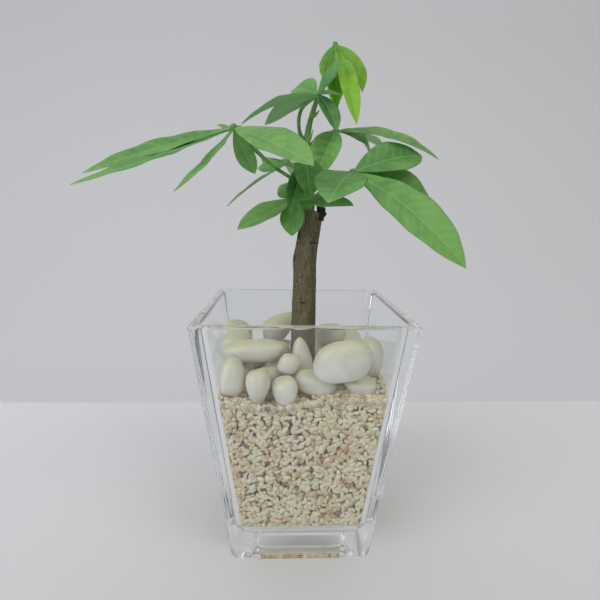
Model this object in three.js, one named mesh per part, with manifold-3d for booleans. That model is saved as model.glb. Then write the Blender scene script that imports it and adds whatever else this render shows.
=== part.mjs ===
// A money tree cutting in a clear glass vase: a tapered square vase with a thick foot, crushed coral
// gravel, polished white pebbles on top, a cut trunk, one green shoot and its palmate leaves.
// Millimetres, +Z up. Everything is laid out about the vase's own axis, with the foot on Z = 0, and the
// finished group is then moved sideways so that the origin is the middle of its bounding box's bottom.

import * as THREE from 'three';
import { mergeVertices } from 'three/addons/utils/BufferGeometryUtils.js';
import Module from 'manifold-3d';

const wasm = await Module();
wasm.setup();

// ---------------------------------------------------------------- driving dimensions

const GAP = 0.3; // left between pieces that touch

const VASE = {
  height: 124,
  topWidth: 100,
  footWidth: 70,
  wall: 4.5,
  floor: 13, // thickness of the clear foot
  topCorner: 2.5, // radius of the upright edges at the rim
  footCorner: 5.5, // and at the foot
  footRound: 3, // radius where the walls turn under
  rimRound: 1.2,
  rimEase: 0.3, // share of that radius at the middle of the round
  innerCorner: 6,
  floorRound: 10, // radius round the inside floor
  recessWidth: 50, // the hollow pressed into the underside
  recessCorner: 8,
  recessDepth: 3,
  recessSlope: 3,
  cornerSteps: 4,
};

const GRAVEL = {
  top: 86, // level of the upper surface in the middle
  rise: 0.04, // it climbs to the right by this much for each millimetre
  dish: 0.0015, // and to both sides by this much for each square millimetre
  swell: 1.6, // and it heaves by this much
  swellRun: [9, 11], // over these lengths along X and Y
  wallTop: 5, // the sides end this far below the top
  relief: 2.4, // how deep the hollows between the lumps of grain go
  uneven: 0.35, // share of that depth by which one lump or hollow differs from another
  columns: 44, // every second point is a lump, so the lumps are about 12 mm apart
  rows: 10,
  topRings: 5,
  squareness: 10, // power of the superellipse that gives the block its rounded corners
};

const TRUNK = {
  // points of the middle line, with the radius there
  route: [
    [1.0, 0, 50, 6.2],
    [1.1, 0, 75, 6.5],
    [1.1, 0, 102, 6.4],
    [1.2, 0, 116, 6.3],
    [1.3, 0, 126, 6.15],
    [1.4, 0, 140, 5.9],
    [1.7, 0, 149, 5.9],
    [3.0, 0, 160, 5.5],
    [4.2, 0, 168, 5.5],
    [4.5, 0, 172, 5.4],
  ],
  sides: 14,
  steps: 14,
  roughness: 0.25, // how far the bark stands in and out
  meanRadius: 6,
  // waves round the trunk, their turn along it and their share of the roughness
  ripples: [[3, 17, 0.5], [5, -31, 0.3], [0, 47, 0.2]],
  stub: { // dead stump of a twig
    at: [8.2, -2.2, 169.5],
    tip: [10.8, -2.6, 177],
    radius: 2.0,
    taper: 0.5,
    root: [3, 0, 2], // how far inward and down it is rooted
    sides: 7,
    steps: 4,
  },
};

const SHOOT = {
  route: [
    [2.7, 0, 172.4, 3.1],
    [2.4, 0, 178, 3.2],
    [2.0, 0, 186, 2.9],
    [1.5, 0, 198, 2.1],
    [1.6, 1, 207, 1.5],
    [3.0, 3, 215, 1.25],
    [6.0, 4, 225, 1.15],
    [9.0, 5, 232, 1.1],
    [11.6, 5.5, 239, 1.0],
  ],
  sides: 8,
  steps: 12,
  // small pointed scales that stay where older leaves grew: foot and tip
  scales: [
    [[1.6, -0.2, 205], [4.4, -3, 211]],
    [[0.2, 1, 206], [-2.6, -1, 212]],
    [[3.9, 3, 218], [7.6, 2, 221]],
    [[4.5, -1, 181], [6.6, -4.4, 186]],
    [[10.4, 5, 237], [10.2, 2.4, 244]],
  ],
  scaleRadius: 1.1,
  scaleTip: 0.35,
  scaleSides: 5,
  scaleSteps: 2,
};

const STALK = { base: 1.3, middle: 0.85, end: 1.05, sides: 6, hub: 1.7 };

const BLADE = {
  thickness: 0.85,
  rise: 1.1, // the outline is t^rise (1 - t)^fall, scaled to the leaflet's width
  fall: 0.9,
  baseHalf: 0.9, // half-widths that the outline never goes below
  tipHalf: 0.4,
  wave: 0.5, // height of the wave along the margin
  wavelength: 17,
  stationEvery: 8,
  across: 4,
};

// Each palmate leaf: the stalk's points from inside the shoot up to the joint, and its leaflets. face is
// the way the upper side looks, bow how far the rib arches over the straight line to the tip, and fold
// the angle in degrees by which each half is raised.
const LEAVES = {
  leaf_crown: {
    colour: '#8db64e',
    stalk: [[9.0, 5, 232], [12.5, 5.5, 240], [13.5, 6, 247], [15, 6, 252.5]],
    leaflets: [
      { tip: [24, -13, 212], width: 10, face: [0.1, -1, 0.1], bow: 3, fold: 25 },
      { tip: [28.5, 3, 230], width: 13, face: [0.8, -0.8, 0.3], bow: 2.8, fold: 22 },
      { tip: [10, 0.5, 233.5], width: 9, face: [-0.5, -1, 0.2], bow: 1, fold: 20 },
      { tip: [16, -3, 221], width: 9, face: [-0.3, -1, 0.1], bow: 2, fold: 30 },
      { tip: [17, 17, 226], width: 11, face: [0.2, 1, 0.2], bow: 3, fold: 25 },
    ],
  },
  leaf_upper_left: {
    colour: '#5d7d5a',
    stalk: [[1.2, 0.5, 203], [-2.4, -0.5, 211.5], [-1.5, -3, 220], [5.8, -6, 226.4]],
    leaflets: [
      { tip: [-29, -16, 210.5], width: 13, face: [0, 0.1, 1], bow: 2.5, fold: 12 },
      { tip: [-19, -4, 212.5], width: 12, face: [0, 0.4, 1], bow: 0.5, fold: 20 },
      { tip: [14.5, -14, 208.5], width: 10, face: [0.4, -1, 0.5], bow: 2, fold: 15 },
      { tip: [15, -20, 223], width: 7, face: [0, 0.1, 1], bow: 0.5, fold: 15 },
      { tip: [17, -10, 242], width: 10, face: [-0.7, -0.6, 0.4], bow: -1.2, fold: 20 },
      { tip: [-4.5, 5, 231.5], width: 14, face: [0.35, -1, 0.15], bow: 1, fold: 15 },
    ],
  },
  leaf_long_left: {
    colour: '#7fae5a',
    stalk: [[1.5, -0.5, 180], [-4, -7.5, 186], [-16, -18.5, 193], [-31, -32, 206]],
    leaflets: [
      { tip: [1.4, -58, 188.3], width: 21, face: [0.05, -0.7, 1], bow: 1.4, fold: 12 },
      { tip: [-90, -44, 185.5], width: 14, face: [0, -0.6, 1], bow: 0.9, fold: 8 },
      { tip: [-88, -60, 180], width: 13, face: [0, -0.3, 1], bow: -0.6, fold: 5 },
      { tip: [-50, -62, 178], width: 9, face: [-0.55, -0.35, 1], bow: -1.5, fold: 10 },
      { tip: [-23, -18, 188.5], width: 9, face: [-0.3, -1, 0.2], bow: 0.5, fold: 15 },
      { tip: [-37, -7, 209], width: 12, face: [0, 0, 1], bow: 0, fold: 20 },
    ],
  },
  leaf_back_left: {
    colour: '#8a9079',
    stalk: [[2, 0, 188], [-3, 8, 193], [-7.5, 14, 197]],
    leaflets: [
      { tip: [-39, 6, 174], width: 9, face: [-0.56, -0.1, 0.82], bow: 1.5, fold: 10 },
      { tip: [-24, 24, 195], width: 9, face: [0, -0.9, 0.6], bow: 0, fold: 10 },
      { tip: [-20, 45, 198], width: 15, face: [0, 0, 1], bow: 2, fold: 15 },
      { tip: [4, 48, 184], width: 16, face: [0.1, 0.2, 1], bow: 4, fold: 15 },
      { tip: [18, 30, 187], width: 12, face: [0.2, 0.1, 1], bow: 3, fold: 15 },
    ],
  },
  leaf_lower_left: {
    colour: '#56784a',
    stalk: [[2.8, 0, 174], [-1, -2, 176.5], [-4, -4, 178.5]],
    leaflets: [
      { tip: [-31.5, -16, 163], width: 14, face: [-0.2, -0.8, 1], bow: 0, fold: 15 },
      { tip: [-5.4, -10.5, 160], width: 13, face: [-0.3, -1, 0.2], bow: 1, fold: 15 },
      { tip: [-12, 2, 184.5], width: 10, face: [0, -1, 0.3], bow: 0, fold: 10 },
      { tip: [21, -31, 174.5], width: 13, face: [0, -0.75, 1], bow: 0, fold: 10 },
    ],
  },
  leaf_inner: {
    colour: '#3f5f38',
    stalk: [[2, 0, 186], [0.5, -6, 191], [0, -12, 196]],
    leaflets: [
      { tip: [2, -28, 178], width: 15, face: [0.1, -1, 0.3], bow: 2, fold: 25 },
      { tip: [-7, -24, 171], width: 9, face: [0, -1, 0.3], bow: 2, fold: 20 },
    ],
  },
  leaf_upper_right: {
    colour: '#6f9c55',
    stalk: [[1.6, 0.5, 201], [5, 2, 206], [10, 4, 209.5], [16.5, 6, 212]],
    leaflets: [
      { tip: [5, -13, 186], width: 17, face: [0, -0.8, 0.6], bow: 3, fold: 35 },
      { tip: [70.5, 8, 199.5], width: 15, face: [0.1, -0.55, 1], bow: 4.2, fold: 15 },
      { tip: [38, 24, 197], width: 14, face: [0.7, -0.5, 0.7], bow: 6.2, fold: 12 },
      { tip: [48, 40, 209.5], width: 11, face: [0, 0, 1], bow: 1.5, fold: 12 },
    ],
  },
  leaf_lower_right: {
    colour: '#6c9b52',
    stalk: [[2.6, -0.5, 177], [8, -4, 181], [14, -8, 186], [23, -12, 190.5]],
    leaflets: [
      { tip: [69, -42, 148.5], width: 22.5, face: [0.1, -1, 0.8], bow: 5.2, fold: 12 },
      { tip: [69, 8, 176], width: 22, face: [0, -1, 0.8], bow: 4, fold: 12 },
      { tip: [8, -50, 175], width: 23, face: [0, -0.5, 1], bow: 2, fold: 12 },
      { tip: [60.5, 4, 200.5], width: 20, face: [0, -0.9, 0.7], bow: 2.8, fold: 12 },
    ],
  },
};

// Pebbles in the order in which they were laid: where each is let down, its half-sizes, its turn about Z
// and its tilt about Y in degrees, and how much narrower its lower part is than its upper part.
const PEBBLES = [
  { at: [-34.6, -29.5], half: [6.2, 6.8, 9.8], turn: 10, tilt: 6, taper: -0.2 },
  { at: [-22.4, -34], half: [5.2, 6.0, 8.8], turn: 0, tilt: -4, taper: 0.5 },
  { at: [-9.8, -34.5], half: [5.4, 6.2, 7.2], turn: 10, tilt: -10, taper: 0.3 },
  { at: [6.6, -29.4], half: [9.8, 6.4, 5.6], turn: -2, tilt: 10, taper: 0 },
  { at: [27, -30], half: [7.4, 7.0, 4.5], turn: 0, tilt: 4, taper: 0.3 },
  { at: [-32.5, -12], half: [10, 7.4, 7.2], turn: 75, tilt: 0, taper: 0.1 },
  { at: [35.2, -11.5], half: [6.6, 9, 10.6], turn: 8, tilt: 0, taper: 0 },
  { at: [-31, 12], half: [9, 10.5, 7.0], turn: 15, tilt: 0, taper: 0 },
  { at: [-14, 31], half: [11.5, 8.6, 7.0], turn: 5, tilt: 0, taper: 0.2 },
  { at: [10, 32], half: [11, 8.4, 6.4], turn: -10, tilt: 0, taper: -0.2 },
  { at: [32, 30], half: [8.8, 8.8, 5.8], turn: 0, tilt: 6, taper: 0.2 },
  { at: [30, 10.5], half: [9.2, 7.4, 6.8], turn: 40, tilt: 0, taper: 0 },
  { at: [-34.5, 33], half: [6.8, 6.8, 7.0], turn: 0, tilt: 0, taper: 0 },
  { at: [-16, -17], half: [7.4, 7.0, 6.4], turn: 0, tilt: 0, taper: 0 },
  { at: [17.5, -15], half: [8.4, 5.6, 4.8], turn: 0, tilt: 0, taper: 0 },
  { at: [-13, 12], half: [7.8, 8.2, 7.4], turn: 0, tilt: 0, taper: 0 },
  { at: [13, 12], half: [7.8, 7.4, 6.8], turn: 35, tilt: 0, taper: 0 },
  { at: [-0.6, -13.6], half: [5.6, 5.2, 12.6], turn: 0, tilt: 0, taper: -0.45 },
  { at: [-13.5, -4], half: [6.2, 5.6, 4.8], turn: 20, tilt: -10, taper: 0 },
  { at: [-8.0, -25], half: [5.0, 4.8, 5.4], turn: 0, tilt: 20, taper: 0 },
  { at: [16.8, -35.4], half: [12.9, 6.4, 9.8], turn: 3, tilt: 0, taper: 0 },
  { at: [-23.5, -17.5], half: [14.2, 6.6, 5.4], turn: 4, tilt: -3, taper: 0.2 },
  { at: [-33.4, 2.5], half: [8.2, 6.8, 4.6], turn: 70, tilt: 0, taper: 0 },
  { at: [-35.2, 24], half: [7.6, 9, 5.0], turn: 10, tilt: 10, taper: -0.2 },
  { at: [-13.4, -2.6], half: [6.6, 5.2, 4.4], turn: 10, tilt: -16, taper: 0 },
  { at: [-10.5, 28], half: [12, 8, 7.2], turn: 8, tilt: -16, taper: 0 },
  { at: [18, 19], half: [9.6, 8, 5.6], turn: -16, tilt: 0, taper: 0 },
];

const PEBBLE = {
  squareness: 2.6, // 2 gives an ellipsoid, more gives broad faces with rounded edges between them
  lobe: 0.08, // how far one side stands out beyond another
  skinned: 0.02, // room, as a share of the size, that makes up for the flat triangles between points
  neighbour: 40, // middles further apart than this can't touch
};

const SETTLE = {
  from: 150, // height from which each pebble is let down
  steps: [0.4, 0.08], // downward steps: coarse first, then fine
  roll: 2, // the sideways step tried where the way down is blocked, as a multiple of the downward one
  wander: 3, // the furthest it may roll from where it was let down
  sink: 2.2, // how far the lowest pebbles press into the gravel
};

// ---------------------------------------------------------------- general helpers

const UP = new THREE.Vector3(0, 0, 1);
const radians = THREE.MathUtils.degToRad;
const vector = (list) => new THREE.Vector3(list[0], list[1], list[2]);
const mix = THREE.MathUtils.lerp;

/** A repeatable stream of numbers from 0 to 1 (mulberry32). */
function randomStream(seed) {
  let state = seed;
  return () => {
    state = (state + 0x6d2b79f5) | 0;
    let t = Math.imul(state ^ (state >>> 15), 1 | state);
    t = (t + Math.imul(t ^ (t >>> 7), 61 | t)) ^ t;
    return ((t ^ (t >>> 14)) >>> 0) / 4294967296;
  };
}

/** A geometry from an array of points and a flat array of triangle indices. */
function geometryOf(points, faces) {
  const geometry = new THREE.BufferGeometry();
  geometry.setAttribute('position', new THREE.Float32BufferAttribute(points.flatMap((p) => [p.x, p.y, p.z]), 3));
  geometry.setIndex(faces);
  return geometry;
}

function middleOf(points) {
  return points.reduce((sum, p) => sum.add(p), new THREE.Vector3()).divideScalar(points.length);
}

/** A closed solid skinned over rings that run anticlockwise seen from where the rings lead to. */
function skin(rings) {
  const count = rings[0].length;
  const points = rings.flat();
  const foot = points.push(middleOf(rings[0])) - 1;
  const head = points.push(middleOf(rings.at(-1))) - 1;
  const lastRow = (rings.length - 1) * count;
  const faces = [];
  for (let j = 0; j < count; j++) {
    const next = (j + 1) % count;
    faces.push(foot, next, j, head, lastRow + j, lastRow + next);
    for (let row = 0; row < lastRow; row += count) {
      faces.push(row + j, row + next, row + count + next);
      faces.push(row + j, row + count + next, row + count + j);
    }
  }
  return geometryOf(points, faces);
}

function toSolid(geometry) {
  const bare = geometry.clone();
  bare.deleteAttribute('normal');
  bare.deleteAttribute('uv');
  const merged = mergeVertices(bare, 1e-5);
  return new wasm.Manifold(new wasm.Mesh({
    numProp: 3,
    vertProperties: merged.attributes.position.array,
    triVerts: new Uint32Array(merged.index.array),
  }));
}

function toGeometry(solid) {
  const mesh = solid.getMesh();
  const geometry = new THREE.BufferGeometry();
  geometry.setAttribute('position', new THREE.Float32BufferAttribute(mesh.vertProperties, 3));
  geometry.setIndex(Array.from(mesh.triVerts));
  return geometry;
}

/** The outer body of a solid, without loose scraps or sealed hollows. */
function mainBody(solid) {
  return solid.decompose().reduce((best, piece) => (piece.volume() > best.volume() ? piece : best));
}

/** Joins closed geometries into one body. */
function fuse(geometries) {
  return mainBody(geometries.map(toSolid).reduce((sum, piece) => sum.add(piece)));
}

/** A ring of points round centre, square to direction. */
function circle(centre, direction, radius, sides, shape = () => 1) {
  const turn = new THREE.Quaternion().setFromUnitVectors(UP, direction.clone().normalize());
  return Array.from({ length: sides }, (_, side) => {
    const angle = side / sides * 2 * Math.PI;
    const reach = radius * shape(angle);
    return new THREE.Vector3(reach * Math.cos(angle), reach * Math.sin(angle), 0)
      .applyQuaternion(turn).add(centre);
  });
}

/** A tube along a smooth line through route points [x, y, z, radius], made thicker all over by extra. */
function taperedTube(route, sides, steps, extra = 0, shape = undefined) {
  const line = new THREE.CatmullRomCurve3(route.map(vector));
  const rings = [];
  for (let step = 0; step <= steps; step++) {
    const along = step / steps * (route.length - 1);
    const index = Math.min(Math.floor(along), route.length - 2);
    const radius = mix(route[index][3], route[index + 1][3], along - index) + extra;
    const t = step / steps;
    const around = shape && ((angle) => shape(angle, t));
    rings.push(circle(line.getPoint(t), line.getTangent(t), radius, sides, around));
  }
  return skin(rings);
}

// ---------------------------------------------------------------- vase

/** Half the vase's outside width at a height. */
const vaseHalf = (z) => mix(VASE.footWidth, VASE.topWidth, z / VASE.height) / 2;
const insideHalf = (z) => vaseHalf(z) - VASE.wall;
const cornerAt = (z) => mix(VASE.footCorner, VASE.topCorner, z / VASE.height);

/** A square ring with round corners at height z. */
function squareRing(half, corner, z) {
  const ring = [];
  for (let quarter = 0; quarter < 4; quarter++) {
    for (let step = 0; step <= VASE.cornerSteps; step++) {
      const angle = step / VASE.cornerSteps * Math.PI / 2;
      const x = half - corner + corner * Math.cos(angle);
      const y = half - corner + corner * Math.sin(angle);
      ring.push(new THREE.Vector3(x, y, z).applyAxisAngle(UP, quarter * Math.PI / 2));
    }
  }
  return ring;
}

/** Rings of a quarter-round: turn goes from 0, flat, to 1, upright. */
function roundRings(half, corner, z, radius, turns) {
  return turns.map((turn) => {
    const angle = turn * Math.PI / 2;
    const inset = radius * (1 - Math.sin(angle));
    return squareRing(half - inset, Math.max(corner - inset, 0.5), z + radius * (1 - Math.cos(angle)));
  });
}

function vaseGeometry() {
  const { height, floor, footRound, floorRound, rimRound, innerCorner } = VASE;
  const recess = VASE.recessWidth / 2;
  const insideTop = insideHalf(height);
  const footEdge = vaseHalf(footRound);
  const underside = [
    squareRing(recess - VASE.recessSlope, VASE.recessCorner - VASE.recessSlope, VASE.recessDepth),
    squareRing(recess, VASE.recessCorner, 0),
  ];
  const outside = [
    ...roundRings(footEdge, VASE.footCorner, 0, footRound, [0, 0.33, 0.67, 1]),
    squareRing(vaseHalf(height / 2), cornerAt(height / 2), height / 2),
    squareRing(vaseHalf(height), VASE.topCorner, height - rimRound),
    squareRing(vaseHalf(height) - VASE.rimEase * rimRound, VASE.topCorner, height - VASE.rimEase * rimRound),
    squareRing(vaseHalf(height) - rimRound, VASE.topCorner - rimRound, height),
  ];
  const inside = [
    squareRing(insideTop + rimRound, innerCorner, height),
    squareRing(insideTop + VASE.rimEase * rimRound, innerCorner, height - VASE.rimEase * rimRound),
    squareRing(insideTop, innerCorner, height - rimRound),
    squareRing(insideHalf(height / 2), innerCorner, height / 2),
    ...roundRings(insideHalf(floor + floorRound), innerCorner, floor, floorRound, [1, 0.75, 0.5, 0.25, 0]),
  ];
  return skin([...underside, ...outside, ...inside]);
}

// ---------------------------------------------------------------- gravel

function gravelTop(x, y) {
  const swell = GRAVEL.swell * Math.sin(x / GRAVEL.swellRun[0]) * Math.cos(y / GRAVEL.swellRun[1]);
  return GRAVEL.top + GRAVEL.rise * x + GRAVEL.dish * x * x - swell;
}

/** Distance from the axis to a superellipse of the given half-width in direction angle. */
function squareReach(half, angle) {
  const power = GRAVEL.squareness;
  const sum = Math.abs(Math.cos(angle)) ** power + Math.abs(Math.sin(angle)) ** power;
  return half / sum ** (1 / power);
}

/** The block of coral grains, with their relief, a plain hole for the trunk and a dent under each pebble. */
function gravelGeometry(pebbles) {
  const random = randomStream(11);
  let row = 0;
  const ring = (z, share, level) => Array.from({ length: GRAVEL.columns }, (_, column) => {
    if (column === 0) row += 1;
    const angle = (column + 0.5) / GRAVEL.columns * 2 * Math.PI;
    const hollow = (row + column) % 2;
    const rough = GRAVEL.relief * mix(hollow, random(), GRAVEL.uneven);
    const reach = (squareReach(insideHalf(z) - GAP, angle) - rough) * share;
    const point = new THREE.Vector3(reach * Math.cos(angle), reach * Math.sin(angle), z);
    if (level) point.z = gravelTop(point.x, point.y) - rough;
    return point;
  });
  const bottom = VASE.floor + GAP;
  const floorRing = ring(bottom, 1 - VASE.floorRound / insideHalf(bottom), false);
  floorRing.forEach((point) => { point.z = bottom; });
  const start = bottom + VASE.floorRound;
  const walls = Array.from({ length: GRAVEL.rows }, (_, step) => (
    ring(mix(start, GRAVEL.top - GRAVEL.wallTop, step / (GRAVEL.rows - 1)), 1, false)));
  const tops = Array.from({ length: GRAVEL.topRings }, (_, step) => (
    ring(GRAVEL.top, 1 - step / GRAVEL.topRings, true)));
  const block = toSolid(skin([floorRing, ...walls, ...tops]));
  const hole = toSolid(taperedTube(TRUNK.route, TRUNK.sides, TRUNK.steps, TRUNK.roughness + GAP));
  const dented = pebbles.reduce((rest, pebble) => (
    rest.subtract(toSolid(pebbleGeometry(pebble, GAP)))), block.subtract(hole));
  return toGeometry(mainBody(dented));
}

// ---------------------------------------------------------------- pebbles

/** How far a pebble's surface stands out in unit direction d: a squarish ball, tapered, with soft lobes. */
function pebbleReach(pebble, d) {
  const power = PEBBLE.squareness;
  const square = (Math.abs(d.x) ** power + Math.abs(d.y) ** power + Math.abs(d.z) ** power) ** (-1 / power);
  const amount = (k) => PEBBLE.lobe * Math.sin(7.3 * pebble.index + 2.1 * k);
  const lobes = 2 * (amount(1) * d.x * d.y + amount(2) * d.y * d.z + amount(3) * d.z * d.x)
    + amount(4) * d.x ** 3 + amount(5) * d.y ** 3 + 0.6 * amount(6) * d.z ** 3;
  return square * (1 + pebble.taper * d.z * (1 - d.z * d.z) + lobes);
}

/** The unit icosphere's points on the pebble, about its own middle, grown all over by extra. */
function pebblePoint(pebble, d, extra) {
  const reach = pebbleReach(pebble, d);
  return new THREE.Vector3(
    d.x * (pebble.half[0] * reach + extra),
    d.y * (pebble.half[1] * reach + extra),
    d.z * (pebble.half[2] * reach + extra),
  ).applyQuaternion(pebble.turned);
}

const SPHERE = mergeVertices(new THREE.IcosahedronGeometry(1, 2).deleteAttribute('normal').deleteAttribute('uv'));
const SPHERE_POINTS = Array.from({ length: SPHERE.attributes.position.count }, (_, i) => (
  new THREE.Vector3().fromBufferAttribute(SPHERE.attributes.position, i)));

function pebbleGeometry(pebble, extra = 0) {
  const points = SPHERE_POINTS.map((d) => pebblePoint(pebble, d, extra).add(pebble.centre));
  return geometryOf(points, Array.from(SPHERE.index.array));
}

/** True where a point is inside the pebble grown by GAP. */
function insidePebble(pebble, point) {
  const local = point.clone().sub(pebble.centre).applyQuaternion(pebble.turned.clone().invert());
  const [a, b, c] = pebble.half;
  const scaled = new THREE.Vector3(local.x / (a + GAP), local.y / (b + GAP), local.z / (c + GAP));
  const reach = scaled.length();
  return reach < pebbleReach(pebble, scaled.normalize()) + PEBBLE.skinned;
}

/** True where a pebble at its present place touches nothing: gravel, glass, trunk or another pebble. */
function isClear(pebble, laid) {
  const own = SPHERE_POINTS.map((d) => pebblePoint(pebble, d, GAP).add(pebble.centre));
  const blocked = own.some((point) => {
    const edge = insideHalf(point.z);
    const intoGlass = Math.hypot(point.x, point.y) > squareReach(edge, Math.atan2(point.y, point.x));
    const intoTrunk = Math.hypot(point.x - TRUNK.route[2][0], point.y) < TRUNK.route[2][3] + TRUNK.roughness;
    return intoGlass || intoTrunk || point.z < gravelTop(point.x, point.y) - SETTLE.sink;
  });
  if (blocked) return false;
  const near = laid.filter((other) => other.centre.distanceTo(pebble.centre) < PEBBLE.neighbour);
  return !near.some((other) => (
    own.some((point) => insidePebble(other, point))
    || SPHERE_POINTS.some((d) => insidePebble(pebble, pebblePoint(other, d, 0).add(other.centre)))));
}

/** Lets a pebble down in steps of one size, rolling aside where that opens the way, until it is held. */
function letDown(pebble, start, laid, step) {
  const sideways = Array.from({ length: 8 }, (_, i) => (
    new THREE.Vector3(SETTLE.roll * step, 0, 0).applyAxisAngle(UP, i * Math.PI / 4)));
  const moves = [new THREE.Vector3(), ...sideways].map((move) => move.setZ(-step));
  const isOpen = (from) => (move) => {
    pebble.centre.copy(from).add(move);
    const strayed = Math.hypot(pebble.centre.x - start.x, pebble.centre.y - start.y) > SETTLE.wander;
    return !strayed && isClear(pebble, laid);
  };
  let here = pebble.centre.clone();
  while (moves.some(isOpen(here))) here = pebble.centre.clone();
  pebble.centre.copy(here);
}

function layPebbles() {
  const laid = [];
  PEBBLES.forEach((stone, index) => {
    const turned = new THREE.Quaternion().setFromEuler(
      new THREE.Euler(0, radians(stone.tilt), radians(stone.turn), 'ZYX'),
    );
    const pebble = { ...stone, index, turned, centre: vector([...stone.at, SETTLE.from]) };
    pebble.start = pebble.centre.clone();
    SETTLE.steps.forEach((step) => letDown(pebble, pebble.start, laid, step));
    laid.push(pebble);
  });
  return laid;
}

// ---------------------------------------------------------------- trunk and shoot

/** The cut trunk: bark that stands in and out, and the dead stump of a twig at its top. */
function trunkGeometry(shootRoom) {
  const bark = (angle, t) => TRUNK.ripples.reduce((sum, [round, turn, share]) => (
    sum + TRUNK.roughness / TRUNK.meanRadius * share * Math.sin(round * angle + turn * t)), 1);
  const { at, tip, radius, sides, steps, taper, root } = TRUNK.stub;
  const trunk = taperedTube(TRUNK.route, TRUNK.sides, TRUNK.steps, 0, bark);
  const inward = vector(at).sub(vector(root));
  const stub = taperedTube([[...inward, radius], [...at, radius], [...tip, radius * taper]], sides, steps);
  return toGeometry(mainBody(fuse([trunk, stub]).subtract(shootRoom)));
}

/** The green shoot with the small scales that older leaves left, made thicker all over by extra. */
function shootSolid(extra = 0) {
  const stem = taperedTube(SHOOT.route, SHOOT.sides, SHOOT.steps, extra);
  const scales = SHOOT.scales.map(([foot, tip]) => (
    taperedTube(
      [[...foot, SHOOT.scaleRadius], [...tip, SHOOT.scaleTip]],
      SHOOT.scaleSides,
      SHOOT.scaleSteps,
      extra,
    )));
  return fuse([stem, ...scales]);
}

// ---------------------------------------------------------------- leaves

/** The blade's frame at t: its point, the way across and the way its upper side looks. */
function bladeFrame(leaflet, base, t) {
  const tip = vector(leaflet.tip);
  const chord = tip.clone().sub(base);
  const along = chord.clone().normalize();
  const face = vector(leaflet.face);
  face.addScaledVector(along, -face.dot(along)).normalize();
  const arch = base.clone().lerp(tip, 0.5).addScaledVector(face, 2 * leaflet.bow);
  const rib = new THREE.QuadraticBezierCurve3(base, arch, tip);
  const tangent = rib.getTangent(t);
  const across = new THREE.Vector3().crossVectors(tangent, face).normalize();
  return { point: rib.getPoint(t), across, up: new THREE.Vector3().crossVectors(across, tangent) };
}

/** Half the blade's width at t. */
function halfWidth(leaflet, t) {
  const { rise, fall, baseHalf, tipHalf } = BLADE;
  const widest = rise / (rise + fall);
  const outline = (t ** rise * (1 - t) ** fall) / (widest ** rise * (1 - widest) ** fall);
  return Math.max(leaflet.width / 2 * outline, mix(baseHalf, tipHalf, t));
}

/** A point of the blade's middle surface: t from base to tip, s from -1 to 1 across. */
function bladePoint(leaflet, base, length, t, s) {
  const { point, across, up } = bladeFrame(leaflet, base, t);
  const half = halfWidth(leaflet, t);
  const fold = radians(leaflet.fold);
  const phase = 2 * Math.PI * t * length / BLADE.wavelength + (s > 0 ? 1.9 : 0);
  const wave = BLADE.wave * s * s * Math.sin(phase) * 4 * t * (1 - t);
  const lift = half * Math.abs(s) * Math.sin(fold) + wave;
  return { point: point.addScaledVector(across, s * half * Math.cos(fold)).addScaledVector(up, lift), up };
}

/** One leaflet: a thin closed sheet, folded along its rib, with the same triangles on both faces. */
function leafletGeometry(leaflet, base) {
  const length = vector(leaflet.tip).distanceTo(base);
  const stations = Math.max(5, Math.round(length / BLADE.stationEvery));
  const columns = BLADE.across + 1;
  const upper = [];
  const lower = [];
  for (let row = 0; row <= stations; row++) {
    for (let column = 0; column < columns; column++) {
      const t = row / stations;
      const { point, up } = bladePoint(leaflet, base, length, t, column / BLADE.across * 2 - 1);
      upper.push(point.clone().addScaledVector(up, BLADE.thickness / 2));
      lower.push(point.clone().addScaledVector(up, -BLADE.thickness / 2));
    }
  }
  const under = upper.length;
  const faces = [];
  const quad = (a, b, c, d) => faces.push(a, c, b, a, d, c);
  for (let row = 0; row < stations; row++) {
    const first = row * columns;
    const last = first + BLADE.across;
    for (let a = first; a < last; a++) {
      const [b, c, d] = [a + 1, a + columns + 1, a + columns];
      faces.push(a, b, c, a, c, d);
      faces.push(under + a, under + c, under + b, under + a, under + d, under + c);
    }
    quad(first, under + first, under + first + columns, first + columns);
    quad(last, last + columns, under + last + columns, under + last);
  }
  for (let a = 0; a < BLADE.across; a++) {
    const b = stations * columns + a;
    quad(a, a + 1, under + a + 1, under + a);
    quad(b, under + b, under + b + 1, b + 1);
  }
  return geometryOf([...upper, ...lower], faces);
}

/** One palmate leaf: the stalk, the joint at its end and the leaflets, all one body. */
function leafGeometry(leaf, shootRoom) {
  const joint = vector(leaf.stalk.at(-1));
  const last = leaf.stalk.length - 1;
  const route = leaf.stalk.map((point, index) => {
    const radius = [STALK.base, STALK.middle, STALK.end][index === 0 ? 0 : index === last ? 2 : 1];
    return [...point, radius];
  });
  const hub = new THREE.IcosahedronGeometry(STALK.hub, 0).translate(joint.x, joint.y, joint.z);
  const parts = [
    taperedTube(route, STALK.sides, 2 * last),
    hub,
    ...leaf.leaflets.map((leaflet) => leafletGeometry(leaflet, joint)),
  ];
  return toGeometry(mainBody(fuse(parts).subtract(shootRoom)));
}

// ---------------------------------------------------------------- the plant in its vase

function named(name, geometry, look) {
  const flat = geometry.toNonIndexed();
  flat.computeVertexNormals();
  const mesh = new THREE.Mesh(flat, new THREE.MeshStandardMaterial(look));
  mesh.name = name;
  return mesh;
}

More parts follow.
